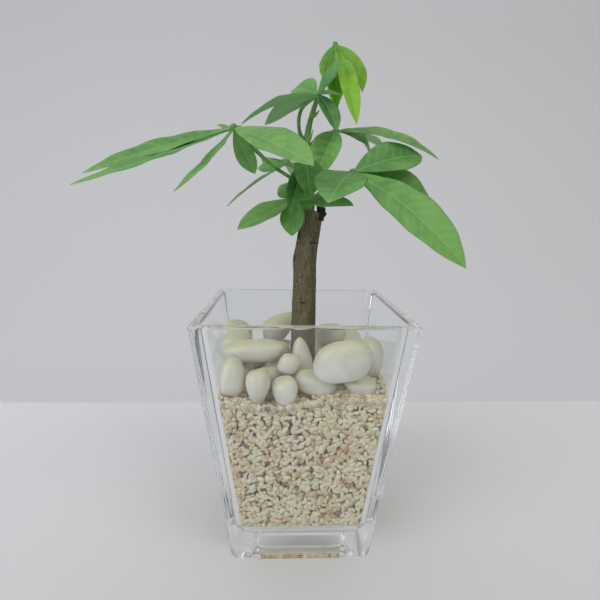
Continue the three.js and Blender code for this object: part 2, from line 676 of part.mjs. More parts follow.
function buildPlant() {
  const group = new THREE.Group();
  const pebbles = layPebbles();
  const glass = { color: '#dfe8e6', roughness: 0.03, metalness: 0, transparent: true, opacity: 0.3 };
  group.add(named('vase', vaseGeometry(), glass));
  group.add(named('gravel', gravelGeometry(pebbles), { color: '#d3c4a0', roughness: 0.9, metalness: 0 }));
  pebbles.forEach((pebble, index) => {
    const name = `pebble_${String(index + 1).padStart(2, '0')}`;
    group.add(named(name, pebbleGeometry(pebble), { color: '#ecebe2', roughness: 0.3, metalness: 0 }));
  });
  const shootRoom = shootSolid(GAP);
  group.add(named('trunk', trunkGeometry(shootRoom), { color: '#8a7d68', roughness: 0.85, metalness: 0 }));
  group.add(named('shoot', toGeometry(shootSolid()), { color: '#6d8f4e', roughness: 0.5, metalness: 0 }));
  for (const [name, leaf] of Object.entries(LEAVES)) {
    group.add(named(name, leafGeometry(leaf, shootRoom), { color: leaf.colour, roughness: 0.45, metalness: 0 }));
  }
  return group;
}

/** Moves every mesh so that the origin is the middle of the bounding box's bottom face. */
function standOnOrigin(group) {
  const box = new THREE.Box3().setFromObject(group);
  const middle = box.getCenter(new THREE.Vector3());
  group.children.forEach((mesh) => mesh.position.set(-middle.x, -middle.y, 0));
  return group;
}

export default standOnOrigin(buildPlant());
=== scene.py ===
import functools
import logging
import math
from collections.abc import Callable
from dataclasses import dataclass, field
from enum import Enum

import bpy
import numpy as np
from mathutils import Matrix, Vector


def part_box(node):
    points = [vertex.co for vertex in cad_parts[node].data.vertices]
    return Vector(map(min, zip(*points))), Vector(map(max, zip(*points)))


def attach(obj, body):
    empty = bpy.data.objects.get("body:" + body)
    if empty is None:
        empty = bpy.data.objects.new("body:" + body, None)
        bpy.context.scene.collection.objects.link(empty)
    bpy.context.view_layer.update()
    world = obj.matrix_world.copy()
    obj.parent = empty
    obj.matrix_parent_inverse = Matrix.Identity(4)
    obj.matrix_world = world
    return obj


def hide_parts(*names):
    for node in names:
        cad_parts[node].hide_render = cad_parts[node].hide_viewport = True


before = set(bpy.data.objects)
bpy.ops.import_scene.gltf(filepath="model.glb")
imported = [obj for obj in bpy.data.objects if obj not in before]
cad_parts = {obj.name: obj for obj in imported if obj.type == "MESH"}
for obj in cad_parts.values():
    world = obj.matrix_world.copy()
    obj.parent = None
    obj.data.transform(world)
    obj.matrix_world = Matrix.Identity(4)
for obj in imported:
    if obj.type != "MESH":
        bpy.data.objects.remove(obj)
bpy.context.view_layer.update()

# A money tree cutting in a clear glass vase of coral gravel and white pebbles.
#
# Lengths are millimetres about the vase's own axis, with the foot on Z = 0, +X to the right and +Y away
# from the viewer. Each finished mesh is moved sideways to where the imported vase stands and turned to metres.

log = logging.getLogger("money_tree")

Array = np.ndarray
Place = tuple[float, float, float]

METRES = 0.001  # one millimetre
# the foot of the vase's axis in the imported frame, in millimetres
AXIS = np.array((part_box("vase")[0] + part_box("vase")[1]) / 2 / METRES) * [1, 1, 0]
BODY = "root"


# ---------------------------------------------------------------- surfaces


@dataclass
class Patch:
    """A closed surface, with values that its material reads.

    Attributes:
        points: One point per row, in millimetres about the vase's axis.
        quads: Four-sided faces.
        triangles: Three-sided faces.
        values: Named numbers, one for each point.
    """

    points: Array
    quads: Array
    triangles: Array
    values: dict[str, Array] = field(default_factory=dict)


def skin(rings: Array, **values: Array) -> Patch:
    """Closes a grid of rings into one surface, with a point in the middle of the first and last ring.

    Args:
        rings: Points by ring and by place in the ring, which closes on itself.
        **values: Named numbers on the same grid.

    Returns:
        The surface, with its faces pointing out.
    """
    rows, columns = rings.shape[:2]
    here = np.arange(columns)
    after = (here + 1) % columns
    row = np.arange(rows - 1)[:, None] * columns
    quads = np.stack([row + here, row + after, row + columns + after, row + columns + here], -1)
    foot, last = rows * columns, (rows - 1) * columns
    triangles = np.vstack([
        np.stack([np.full(columns, foot), after, here], -1),
        np.stack([np.full(columns, foot + 1), last + here, last + after], -1),
    ])
    points = np.vstack([rings.reshape(-1, 3), rings[0].mean(0), rings[-1].mean(0)])
    spread = {
        name: np.concatenate([grid.ravel(), [grid[0].mean(), grid[-1].mean()]])
        for name, grid in ((name, np.broadcast_to(value, (rows, columns))) for name, value in values.items())
    }
    return outward(Patch(points, quads.reshape(-1, 4), triangles, spread))


def outward(patch: Patch) -> Patch:
    """Turns every face round if the surface encloses a negative volume, summed over its triangles.

    Args:
        patch: The surface.

    Returns:
        The same surface, with its faces pointing out.
    """
    corners = np.vstack([patch.triangles, patch.quads[:, [0, 1, 2]], patch.quads[:, [0, 2, 3]]])
    a, b, c = (patch.points[corners[:, k]] for k in range(3))
    if np.einsum("ij,ij->", a, np.cross(b, c)) < 0:
        patch.quads, patch.triangles = patch.quads[:, ::-1], patch.triangles[:, ::-1]
    return patch


def join(patches: list[Patch]) -> Patch:
    """Puts several surfaces into one, each with its own values or zero where it has none.

    Args:
        patches: The surfaces.

    Returns:
        One surface of them all.
    """
    starts = np.cumsum([0] + [len(patch.points) for patch in patches])
    names = {name for patch in patches for name in patch.values}
    return Patch(
        np.vstack([patch.points for patch in patches]),
        np.vstack([patch.quads + start for patch, start in zip(patches, starts)]),
        np.vstack([patch.triangles + start for patch, start in zip(patches, starts)]),
        {
            name: np.concatenate([patch.values.get(name, np.zeros(len(patch.points))) for patch in patches])
            for name in sorted(names)
        },
    )


def place_piece(name: str, patch: Patch, finish: "Finish", replaces: tuple[str, ...] = ()) -> None:
    """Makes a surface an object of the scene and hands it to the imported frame.

    Args:
        name: The piece's name.
        patch: Its surface.
        finish: What it is made of.
        replaces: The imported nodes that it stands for.
    """
    thing = shown(bpy.data.objects.new(name, mesh_of(name, patch)))
    thing.data.materials.append(material_of(finish))
    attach(thing, BODY)
    if replaces:
        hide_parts(*replaces)
    log.info("%s: %d triangles", name, 2 * len(patch.quads) + len(patch.triangles))


def shown(thing: bpy.types.Object) -> bpy.types.Object:
    """Links an object to the scene and hands it back."""
    bpy.context.scene.collection.objects.link(thing)
    return thing


def packed_box(node: str) -> tuple[Array, Array]:
    """The middle and the half-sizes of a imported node's box, in millimetres about the vase's axis."""
    low, high = (np.array(corner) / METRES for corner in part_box(node))
    return (low + high) / 2 - AXIS, (high - low) / 2


def mesh_of(name: str, patch: Patch) -> bpy.types.Mesh:
    """Writes a surface to a smooth-shaded mesh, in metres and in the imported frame.

    Args:
        name: The mesh's name.
        patch: The surface.

    Returns:
        The mesh, with the surface's values as attributes.
    """
    mesh = bpy.data.meshes.new(name)
    place = patch.points + AXIS
    corners = np.concatenate([patch.quads.ravel(), patch.triangles.ravel()])
    sizes = np.concatenate([np.full(len(patch.quads), 4), np.full(len(patch.triangles), 3)])
    mesh.vertices.add(len(place))
    mesh.vertices.foreach_set("co", (place * METRES).astype(np.float32).ravel())
    mesh.loops.add(len(corners))
    mesh.loops.foreach_set("vertex_index", corners.astype(np.int32))
    mesh.polygons.add(len(sizes))
    mesh.polygons.foreach_set("loop_start", np.concatenate([[0], np.cumsum(sizes)[:-1]]).astype(np.int32))
    mesh.polygons.foreach_set("use_smooth", np.ones(len(sizes), bool))
    for key, value in patch.values.items():
        layer = mesh.attributes.new(key, "FLOAT", "POINT")
        layer.data.foreach_set("value", value.astype(np.float32))
    mesh.update(calc_edges=True)
    mesh.validate()
    return mesh


def unit(vectors: Array) -> Array:
    """Scales each vector to length one."""
    return vectors / np.maximum(np.linalg.norm(vectors, axis=-1, keepdims=True), 1e-9)


def ease(value: Array, low: float, high: float) -> Array:
    """Rises smoothly from 0 at low to 1 at high: 3 x squared less 2 x cubed."""
    share = np.clip((value - low) / (high - low), 0, 1)
    return share * share * (3 - 2 * share)


def smooth_line(points: Array, places: Array) -> Array:
    """Works out a centripetal Catmull-Rom line.

    Between two given points it is the cubic that leaves and arrives along its neighbours' chords, each
    weighted by the square root of its length.

    Args:
        points: The points that the line passes.
        places: Where on it, from 0 to 1, with the given points evenly spread over that range.

    Returns:
        One point for each place.
    """
    ends = np.vstack([2 * points[0] - points[1], points, 2 * points[-1] - points[-2]])
    along = places * (len(points) - 1)
    index = np.minimum(along.astype(int), len(points) - 2)
    t = (along - index)[:, None]
    a, b, c, d = (ends[index + step] for step in range(4))
    before, between, after = (
        np.sqrt(np.linalg.norm(q - p, axis=1, keepdims=True)) for p, q in ((a, b), (b, c), (c, d)))
    leave = ((b - a) / before - (c - a) / (before + between) + (c - b) / between) * between
    arrive = ((c - b) / between - (d - b) / (between + after) + (d - c) / after) * between
    return b + leave * t + (3 * (c - b) - 2 * leave - arrive) * t**2 + (2 * (b - c) + leave + arrive) * t**3


def hoops(line: Array, reach: Array, angles: Array) -> Array:
    """Sets a round ring square to a line at each of its points.

    The ring's two axes are the world's X and Y, turned by the least turn that takes Z to the line's
    direction: the axis less its share of (direction + Z) over (1 + the direction's Z).

    Args:
        line: The line's points.
        reach: How far the surface lies from the line, by point and by angle.
        angles: The angles round the ring.

    Returns:
        Points by ring and by angle.
    """
    ahead = unit(np.gradient(line, axis=0))
    lean = (ahead + [0, 0, 1]) / (1 + ahead[:, 2:])
    across = np.array([1.0, 0, 0]) - ahead[:, :1] * lean
    back = np.array([0, 1.0, 0]) - ahead[:, 1:2] * lean
    round_ = np.cos(angles)[None, :, None] * across[:, None] + np.sin(angles)[None, :, None] * back[:, None]
    return line[:, None] + reach[:, :, None] * round_


def tube(route: Array, sides: int, step: float,
         relief: Callable[[Array, Array], Array] | None = None) -> tuple[Array, Array, Array]:
    """Carries a round section along a smooth line.

    Args:
        route: Points of the middle line with the radius there, one [x, y, z, radius] per row.
        sides: How many points go round.
        step: Distance between rings.
        relief: Gives how far the surface stands out, from the place along and the angle.

    Returns:
        The grid of points, the place along from 0 to 1 and the angles.
    """
    length = np.linalg.norm(np.diff(route[:, :3], axis=0), axis=1).sum()
    places = np.linspace(0, 1, max(4, round(length / step)) + 1)
    angles = np.arange(sides) / sides * 2 * np.pi
    line = smooth_line(route[:, :3], places)
    radius = np.interp(places * (len(route) - 1), np.arange(len(route)), route[:, 3])
    reach = np.repeat(radius[:, None], sides, axis=1)
    if relief is not None:
        reach = reach + relief(places[:, None], angles[None, :])
    return hoops(line, reach, angles), places, angles


class Relief:
    """Smooth random values from -1 to 1: a lattice of random numbers, blended by eased shares."""

    def __init__(self, seed: int, size: int = 32) -> None:
        """Fills the lattice, which repeats after size steps."""
        self.size = size
        self.lattice = np.random.default_rng(seed).uniform(-1, 1, (size, size, size))

    def at(self, points: Array) -> Array:
        """Reads the values at some points.

        Args:
            points: The points, in lattice steps.

        Returns:
            One value for each point.
        """
        low = np.floor(points).astype(int)
        share = points - low
        share = share * share * (3 - 2 * share)
        total = np.zeros(points.shape[:-1])
        for corner in np.ndindex(2, 2, 2):
            cell = (low + corner) % self.size
            weight = np.prod(np.where(np.array(corner) == 1, share, 1 - share), axis=-1)
            total += weight * self.lattice[cell[..., 0], cell[..., 1], cell[..., 2]]
        return total


# ---------------------------------------------------------------- finishes


def linear(code: str) -> tuple[float, float, float, float]:
    """Turns an sRGB hex colour to linear light.

    A part up to 0.04045 is divided by 12.92. To a greater one 0.055 is added, and the sum over 1.055 is
    raised to the power 2.4.

    Args:
        code: The colour, such as #FFFFFF.

    Returns:
        Red, green and blue from 0 to 1, and full alpha.
    """
    parts = [int(code[k:k + 2], 16) / 255 for k in (1, 3, 5)]
    red, green, blue = (part / 12.92 if part <= 0.04045 else ((part + 0.055) / 1.055) ** 2.4 for part in parts)
    return red, green, blue, 1.0


def per_metre(size_mm: float) -> float:
    """The texture scale at which one cell of a pattern measures size_mm."""
    return 1 / (size_mm * METRES)


def add(tree: bpy.types.NodeTree, kind: str, inputs: dict[str | int, object] | None = None,
        stops: dict[float, str] | None = None, **settings: object) -> bpy.types.Node:
    """Adds one shader node.

    Args:
        tree: The node tree.
        kind: The node's type, without the ShaderNode before it.
        inputs: What goes into its sockets: another node's first output in use, a given output, an sRGB hex
            colour or a plain value.
        stops: A colour ramp's places and their sRGB hex colours.
        **settings: The node's own properties.

    Returns:
        The node.
    """
    node = tree.nodes.new(f"ShaderNode{kind}")
    for name, value in settings.items():
        setattr(node, name, value)
    for key, value in (inputs or {}).items():
        if isinstance(value, bpy.types.Node):
            value = next(socket for socket in value.outputs if socket.enabled)
        if isinstance(value, bpy.types.NodeSocket):
            tree.links.new(value, node.inputs[key])
        else:
            node.inputs[key].default_value = linear(value) if isinstance(value, str) else value
    if stops:
        elements = node.color_ramp.elements
        while len(elements) < len(stops):
            elements.new(1.0)
        for element, (place, colour) in zip(elements, sorted(stops.items())):
            element.position, element.color = place, linear(colour)
    return node


@dataclass(frozen=True)
class Finish:
    """What a surface is made of and how it was made."""

    title: str

    def surface(self, tree: bpy.types.NodeTree) -> bpy.types.Node:
        """Builds the nodes of the shader that the surface shows.

        Args:
            tree: The material's node tree.

        Returns:
            The shader.
        """
        raise NotImplementedError


@functools.cache
def material_of(finish: Finish) -> bpy.types.Material:
    """Makes a finish's material once.

    Args:
        finish: What the surface is made of.

    Returns:
        The material, the same one each time.
    """
    material = bpy.data.materials.new(finish.title)
    material.use_nodes = True
    material.node_tree.nodes.clear()
    add(material.node_tree, "OutputMaterial", {"Surface": finish.surface(material.node_tree)})
    return material


@dataclass(frozen=True)
class PressedGlass(Finish):
    """Clear soda-lime glass, pressed in a mould and fire-polished: sharp highlights, edges a little grey."""

    tint: str = "#FBFDFD"
    ior: float = 1.52

    def surface(self, tree: bpy.types.NodeTree) -> bpy.types.Node:
        """Bends and mirrors what is seen, and lets lamplight and light that has bounced once pass straight.

        Args:
            tree: The material's node tree.

        Returns:
            The shader.
        """
        glass = add(tree, "BsdfPrincipled", {
            "Base Color": self.tint, "Roughness": 0.0, "IOR": self.ior, "Transmission Weight": 1.0})
        clear = add(tree, "BsdfTransparent", {"Color": self.tint})
        ray = add(tree, "LightPath").outputs
        bounced = add(tree, "MixShader", {0: ray["Is Diffuse Ray"], 1: glass, 2: clear})
        return add(tree, "MixShader", {0: ray["Is Shadow Ray"], 1: bounced, 2: clear})


@dataclass(frozen=True)
class CrushedCoral(Finish):
    """Crushed and washed reef coral: matt and chalky, full of fine pores, cream with a few odd colours."""

    pore: float = 0.45  # millimetres across, drawn coarser than the real pores so that they show
    depth: float = 0.12
    stain: float = 1.6
    blush: float = 14.0  # from one pinkish patch of the gravel to the next
    glow: float = 0.0  # painted light: the grains glow, standing in for light that the thick glass gathers under them

    def surface(self, tree: bpy.types.NodeTree) -> bpy.types.Node:
        """Colours each grain by its own tone, stains it softly, darkens it by its painted shading, pits it
        with pores and lets it glow with painted light.

        Args:
            tree: The material's node tree.

        Returns:
            The shader.
        """
        tone, shade = (add(tree, "Attribute", attribute_name=name).outputs["Fac"]
                       for name in ("tone", "shade"))
        place = add(tree, "TexCoord").outputs["Object"]
        grain = add(tree, "ValToRGB", {0: tone}, stops={
            0.0: "#8A7C58", 0.03: "#B8A880", 0.06: "#F0E8D4", 0.2: "#F7F1E2", 0.4: "#EDE3C8", 0.58: "#F4ECD6",
            0.7: "#E3D5B2", 0.8: "#F6EDD0", 0.88: "#D8C8A2", 0.92: "#E6CDBB", 0.955: "#C6A394",
            0.975: "#93777C", 0.985: "#A3A690", 1.0: "#C9C5AC"})
        stain = add(tree, "TexNoise", {"Vector": place, "Scale": per_metre(self.stain), "Detail": 3.0})
        stained = add(tree, "Mix", {"Factor": stain, "A": "#D9CDAE", "B": "#FFFFFF"}, data_type="RGBA")
        blush = add(tree, "TexNoise", {"Vector": place, "Scale": per_metre(self.blush), "Detail": 2.0})
        patch = add(tree, "MapRange", {0: blush, 1: 0.52, 2: 0.75})
        colour = grain
        # the last layer is painted shading: grains that lie deeper in the gravel are multiplied towards this
        # brown
        for share, over in ((0.7, stained), (patch, "#F4DFD6"), (shade, "#8C7650")):
            colour = add(tree, "Mix", {"Factor": share, "A": colour, "B": over}, data_type="RGBA",
                         blend_type="MULTIPLY")
        pores = add(tree, "TexVoronoi", {"Vector": place, "Scale": per_metre(self.pore)})
        pitted = add(tree, "Bump", {"Height": pores, "Strength": 0.6, "Distance": self.depth * METRES})
        # the emission is painted light; only the floor's grains are given any
        return add(tree, "BsdfPrincipled", {
            "Base Color": colour, "Roughness": 0.86, "Normal": pitted, "Specular IOR Level": 0.25,
            "Emission Color": colour, "Emission Strength": self.glow})


@dataclass(frozen=True)
class TumbledQuartz(Finish):
    """White quartz, tumbled smooth: a soft shine, faint greenish cream clouds and light that sinks in."""

    cloud: float = 9.0  # millimetres from one cloud to the next
    dimple: float = 1.1
    depth: float = 0.1

    def surface(self, tree: bpy.types.NodeTree) -> bpy.types.Node:
        """Clouds the white, paints the upper faces greener as painted light coming through the stone, roughens
        the shine a little and dimples the surface.

        Args:
            tree: The material's node tree.

        Returns:
            The shader.
        """
        place = add(tree, "TexCoord").outputs["Object"]
        clouds = add(tree, "TexNoise", {
            "Vector": place, "Scale": per_metre(self.cloud), "Detail": 4.0, "Roughness": 0.6,
            "Distortion": 0.6})
        white = add(tree, "ValToRGB", {0: clouds}, stops={0.3: "#D6D2BE", 0.5: "#E3DFD6", 0.7: "#EBE7E5"})
        # painted light: faces turned up are tinted greenish cream, for light that comes through the stone from
        # above
        facing = add(tree, "SeparateXYZ", {0: add(tree, "NewGeometry").outputs["Normal"]}).outputs["Z"]
        upward = add(tree, "MapRange", {0: facing, 1: -0.2, 2: 1.1})
        painted_top_light = add(tree, "Mix", {"Factor": upward, "A": white, "B": "#D3CFA8"}, data_type="RGBA")
        shine = add(tree, "MapRange", {0: clouds, 3: 0.3, 4: 0.46})
        dimples = add(tree, "TexNoise", {"Vector": place, "Scale": per_metre(self.dimple), "Detail": 2.0})
        bumped = add(tree, "Bump", {"Height": dimples, "Strength": 0.25, "Distance": self.depth * METRES})
        return add(tree, "BsdfPrincipled", {
            "Base Color": painted_top_light, "Roughness": shine, "Normal": bumped, "Subsurface Weight": 0.5,
            "Subsurface Radius": (3.0, 2.8, 1.5), "Subsurface Scale": METRES, "Coat Weight": 0.15,
            "Coat Roughness": 0.2})


@dataclass(frozen=True)
class GreyBark(Finish):
    """Thin bark of a young trunk: grey-brown with green showing through, dark pores and lengthwise cracks."""

    crack: float = 0.9  # millimetres between lengthwise cracks
    pore: float = 1.7
    patch: float = 6.0
    depth: float = 0.25
    crack_stretch: tuple[float, float, float] = (1.0, 1.0, 0.16)
    pore_squash: tuple[float, float, float] = (1.0, 1.0, 1.9)

    def surface(self, tree: bpy.types.NodeTree) -> bpy.types.Node:
        """Mixes brown and grey-green patches, draws cracks and pores, and darkens scars and dead wood.

        Args:
            tree: The material's node tree.

        Returns:
            The shader.
        """
        place = add(tree, "TexCoord").outputs["Object"]
        scar = add(tree, "Attribute", attribute_name="scar").outputs["Fac"]
        drawn, squat = (add(tree, "Mapping", {"Vector": place, "Scale": stretch})
                        for stretch in (self.crack_stretch, self.pore_squash))
        patches = add(tree, "TexNoise", {
            "Vector": place, "Scale": per_metre(self.patch), "Detail": 5.0, "Roughness": 0.62})
        base = add(tree, "ValToRGB", {0: patches}, stops={
            0.3: "#66614A", 0.45: "#81765D", 0.56: "#737457", 0.7: "#978A70"})
        cracks = add(tree, "TexNoise", {
            "Vector": drawn, "Scale": per_metre(self.crack), "Detail": 6.0, "Roughness": 0.7})
        creased = add(tree, "MapRange", {0: cracks, 1: 0.34, 2: 0.6})
        lined = add(tree, "Mix", {"Factor": creased, "A": "#5A4E3C", "B": base}, data_type="RGBA")
        pores = add(tree, "TexVoronoi", {"Vector": squat, "Scale": per_metre(self.pore)})
        specks = add(tree, "MapRange", {0: pores, 1: 0.14, 2: 0.26, 3: 1.0, 4: 0.0})
        speckled = add(tree, "Mix", {"Factor": specks, "A": lined, "B": "#B4A588"}, data_type="RGBA")
        dead = add(tree, "Mix", {"Factor": scar, "A": speckled, "B": "#241C14"}, data_type="RGBA")
        raised = add(tree, "Math", {0: creased, 1: specks}, operation="ADD")
        bumped = add(tree, "Bump", {"Height": raised, "Strength": 0.8, "Distance": self.depth * METRES})
        return add(tree, "BsdfPrincipled", {
            "Base Color": dead, "Roughness": 0.78, "Normal": bumped, "Specular IOR Level": 0.3})


@dataclass(frozen=True)
class YoungStem(Finish):
    """The green skin of stalks and shoot: waxy, finely ribbed, paler where it is swollen."""

    green: str = "#5E9440"
    pale: str = "#8FB765"
    rib: float = 0.8  # millimetres from one rib to the next
    patch: float = 5.0
    depth: float = 0.12
    rib_stretch: tuple[float, float, float] = (1.0, 1.0, 0.2)

    def surface(self, tree: bpy.types.NodeTree) -> bpy.types.Node:
        """Blends two greens in patches and along fine ribs.

        Args:
            tree: The material's node tree.

        Returns:
            The shader.
        """
        place = add(tree, "TexCoord").outputs["Object"]
        drawn = add(tree, "Mapping", {"Vector": place, "Scale": self.rib_stretch})
        ribs = add(tree, "TexNoise", {"Vector": drawn, "Scale": per_metre(self.rib), "Detail": 3.0})
        patches = add(tree, "TexNoise", {"Vector": place, "Scale": per_metre(self.patch), "Detail": 2.0})
        share = add(tree, "MapRange", {0: patches, 1: 0.35, 2: 0.7})
        colour = add(tree, "Mix", {"Factor": share, "A": self.green, "B": self.pale}, data_type="RGBA")
        bumped = add(tree, "Bump", {"Height": ribs, "Strength": 0.4, "Distance": self.depth * METRES})
        return add(tree, "BsdfPrincipled", {
            "Base Color": colour, "Roughness": 0.42, "Normal": bumped, "Subsurface Weight": 0.15,
            "Subsurface Radius": (0.8, 1.4, 0.5), "Subsurface Scale": METRES})


@dataclass(frozen=True)
class LeafSkin(Finish):
    """A living leaf: satin wax over cells that let some light through, with paler midrib and side veins."""

    deep: str
    fresh: str
    vein: str
    under: str
    spacing: float = 5.0  # millimetres from one side vein to the next
    lean: float = 0.75  # how far a side vein runs forward for each millimetre that it runs out
    bend: float = 8.0  # from one bend of the veins to the next
    bend_reach: float = 6.0
    glow: float = 0.3
    patch: float = 11.0
    cell: float = 0.9  # drawn coarser than the real net of small veins
    depth: float = 0.5

    def surface(self, tree: bpy.types.NodeTree) -> bpy.types.Node:
        """Draws midrib and side veins from the blade's own millimetres, and mottles the green between.

        Args:
            tree: The material's node tree.

        Returns:
            The shader.
        """
        place = add(tree, "TexCoord").outputs["Object"]
        out, along, upper, tone = (add(tree, "Attribute", attribute_name=name).outputs["Fac"]
                                   for name in ("across_mm", "along_mm", "upper", "tone"))
        off_rib = add(tree, "Math", {0: out}, operation="ABSOLUTE")
        start = add(tree, "Math", {0: off_rib, 1: -self.lean, 2: along}, operation="MULTIPLY_ADD")
        wobble = add(tree, "TexNoise", {"Vector": place, "Scale": per_metre(self.bend), "Detail": 1.0})
        bent = add(tree, "Math", {0: wobble, 1: self.bend_reach, 2: start}, operation="MULTIPLY_ADD")
        turns = add(tree, "Math", {0: bent, 1: self.spacing}, operation="DIVIDE")
        nearest = add(tree, "Math", {0: turns, 1: 0.5}, operation="PINGPONG")
        side, rib = (add(tree, "MapRange", {0: off, 1: full, 2: gone, 3: 1.0, 4: 0.0},
                         interpolation_type="SMOOTHSTEP")
                     for off, full, gone in ((nearest, 0.01, 0.3), (off_rib, 0.12, 0.45)))
        mottle = add(tree, "TexNoise", {
            "Vector": place, "Scale": per_metre(self.patch), "Detail": 5.0, "Roughness": 0.55})
        mixed = add(tree, "Math", {0: mottle, 1: tone}, operation="ADD")
        share = add(tree, "MapRange", {0: mixed, 1: 0.35, 2: 0.75})
        green = add(tree, "Mix", {"Factor": share, "A": self.deep, "B": self.fresh}, data_type="RGBA")
        cells = add(tree, "TexVoronoi", {"Vector": place, "Scale": per_metre(self.cell)},
                    feature="DISTANCE_TO_EDGE")
        net = add(tree, "MapRange", {0: cells, 1: 0.0, 2: 0.16, 3: 0.12, 4: 0.0})
        veins = add(tree, "Math", {0: side, 1: 0.1, 2: net}, operation="MULTIPLY_ADD")
        ribbed = add(tree, "Math", {0: rib, 1: 0.5, 2: veins}, operation="MULTIPLY_ADD")
        lined = add(tree, "Math", {0: ribbed, 1: 1.0}, operation="MINIMUM")
        faint = add(tree, "Math", {0: lined, 1: 0.6}, operation="MULTIPLY")
        veined = add(tree, "Mix", {"Factor": lined, "A": green, "B": self.vein}, data_type="RGBA")
        below = add(tree, "Mix", {"Factor": faint, "A": self.under, "B": self.vein}, data_type="RGBA")
        faced = add(tree, "Mix", {"Factor": upper, "A": below, "B": veined}, data_type="RGBA")
        sunk = add(tree, "Math", {0: 1.0, 1: lined}, operation="SUBTRACT")
        bumped = add(tree, "Bump", {"Height": sunk, "Strength": 0.6, "Distance": self.depth * METRES})
        shine = add(tree, "MapRange", {0: upper, 3: 0.6, 4: 0.46})
        return add(tree, "BsdfPrincipled", {
            "Base Color": faced, "Roughness": shine, "Normal": bumped, "Subsurface Weight": self.glow,
            "Subsurface Radius": (0.8, 1.4, 0.3), "Subsurface Scale": METRES, "Specular IOR Level": 0.36})


@dataclass(frozen=True)
class MattBoard(Finish):
    """A matt painted or laid surface, whose colour drifts along one axis as painted light and shading, and
    which can glow with painted light.
    """

    first: str
    last: str
    axis: int
    painted_light_span: tuple[float, float]  # where the painted light and shading drift begins and ends
    glow: float = 0.0  # painted light: the surface glows in its own colour, for lamps of the room that aren't set up here

    def surface(self, tree: bpy.types.NodeTree) -> bpy.types.Node:
        """Drifts from the first colour to the last as painted light and shading, without shine, and adds the
        painted glow.

        Args:
            tree: The material's node tree.

        Returns:
            The shader.
        """
        place = add(tree, "TexCoord").outputs["Object"]
        along = add(tree, "SeparateXYZ", {0: place}).outputs[self.axis]
        share = add(tree, "MapRange", {0: along, 1: self.painted_light_span[0] * METRES, 2: self.painted_light_span[1] * METRES})
        colour = add(tree, "Mix", {"Factor": share, "A": self.first, "B": self.last}, data_type="RGBA")
        return add(tree, "BsdfPrincipled", {
            "Base Color": colour, "Roughness": 1.0, "Specular IOR Level": 0.0, "Emission Color": colour,
            "Emission Strength": self.glow})


class Leafage(Enum):
    """The greens of this plant's leaves by age, and a darker copy of the greens as painted shading for the
    inner leaf.
    """

    BRIGHT = LeafSkin("young leaf, yellow-green", "#558F28", "#8CBF2C", "#A9CF66", "#86B848", glow=0.5)
    GREEN = LeafSkin("grown leaf, mid green", "#498439", "#77A956", "#A2CB86", "#97BF80")
    DARK = LeafSkin("older leaf, deep green", "#437B3D", "#68A353", "#92BF7E", "#97C08A")
    # painted shading: a darker copy of the greens for the inner leaf, which lies in the shadow of the others
    PAINTED_SHADE = LeafSkin("inner leaf, darker green as painted shading", "#2A5C1F", "#43802F", "#78A85F", "#6F9C60")


# ---------------------------------------------------------------- vase


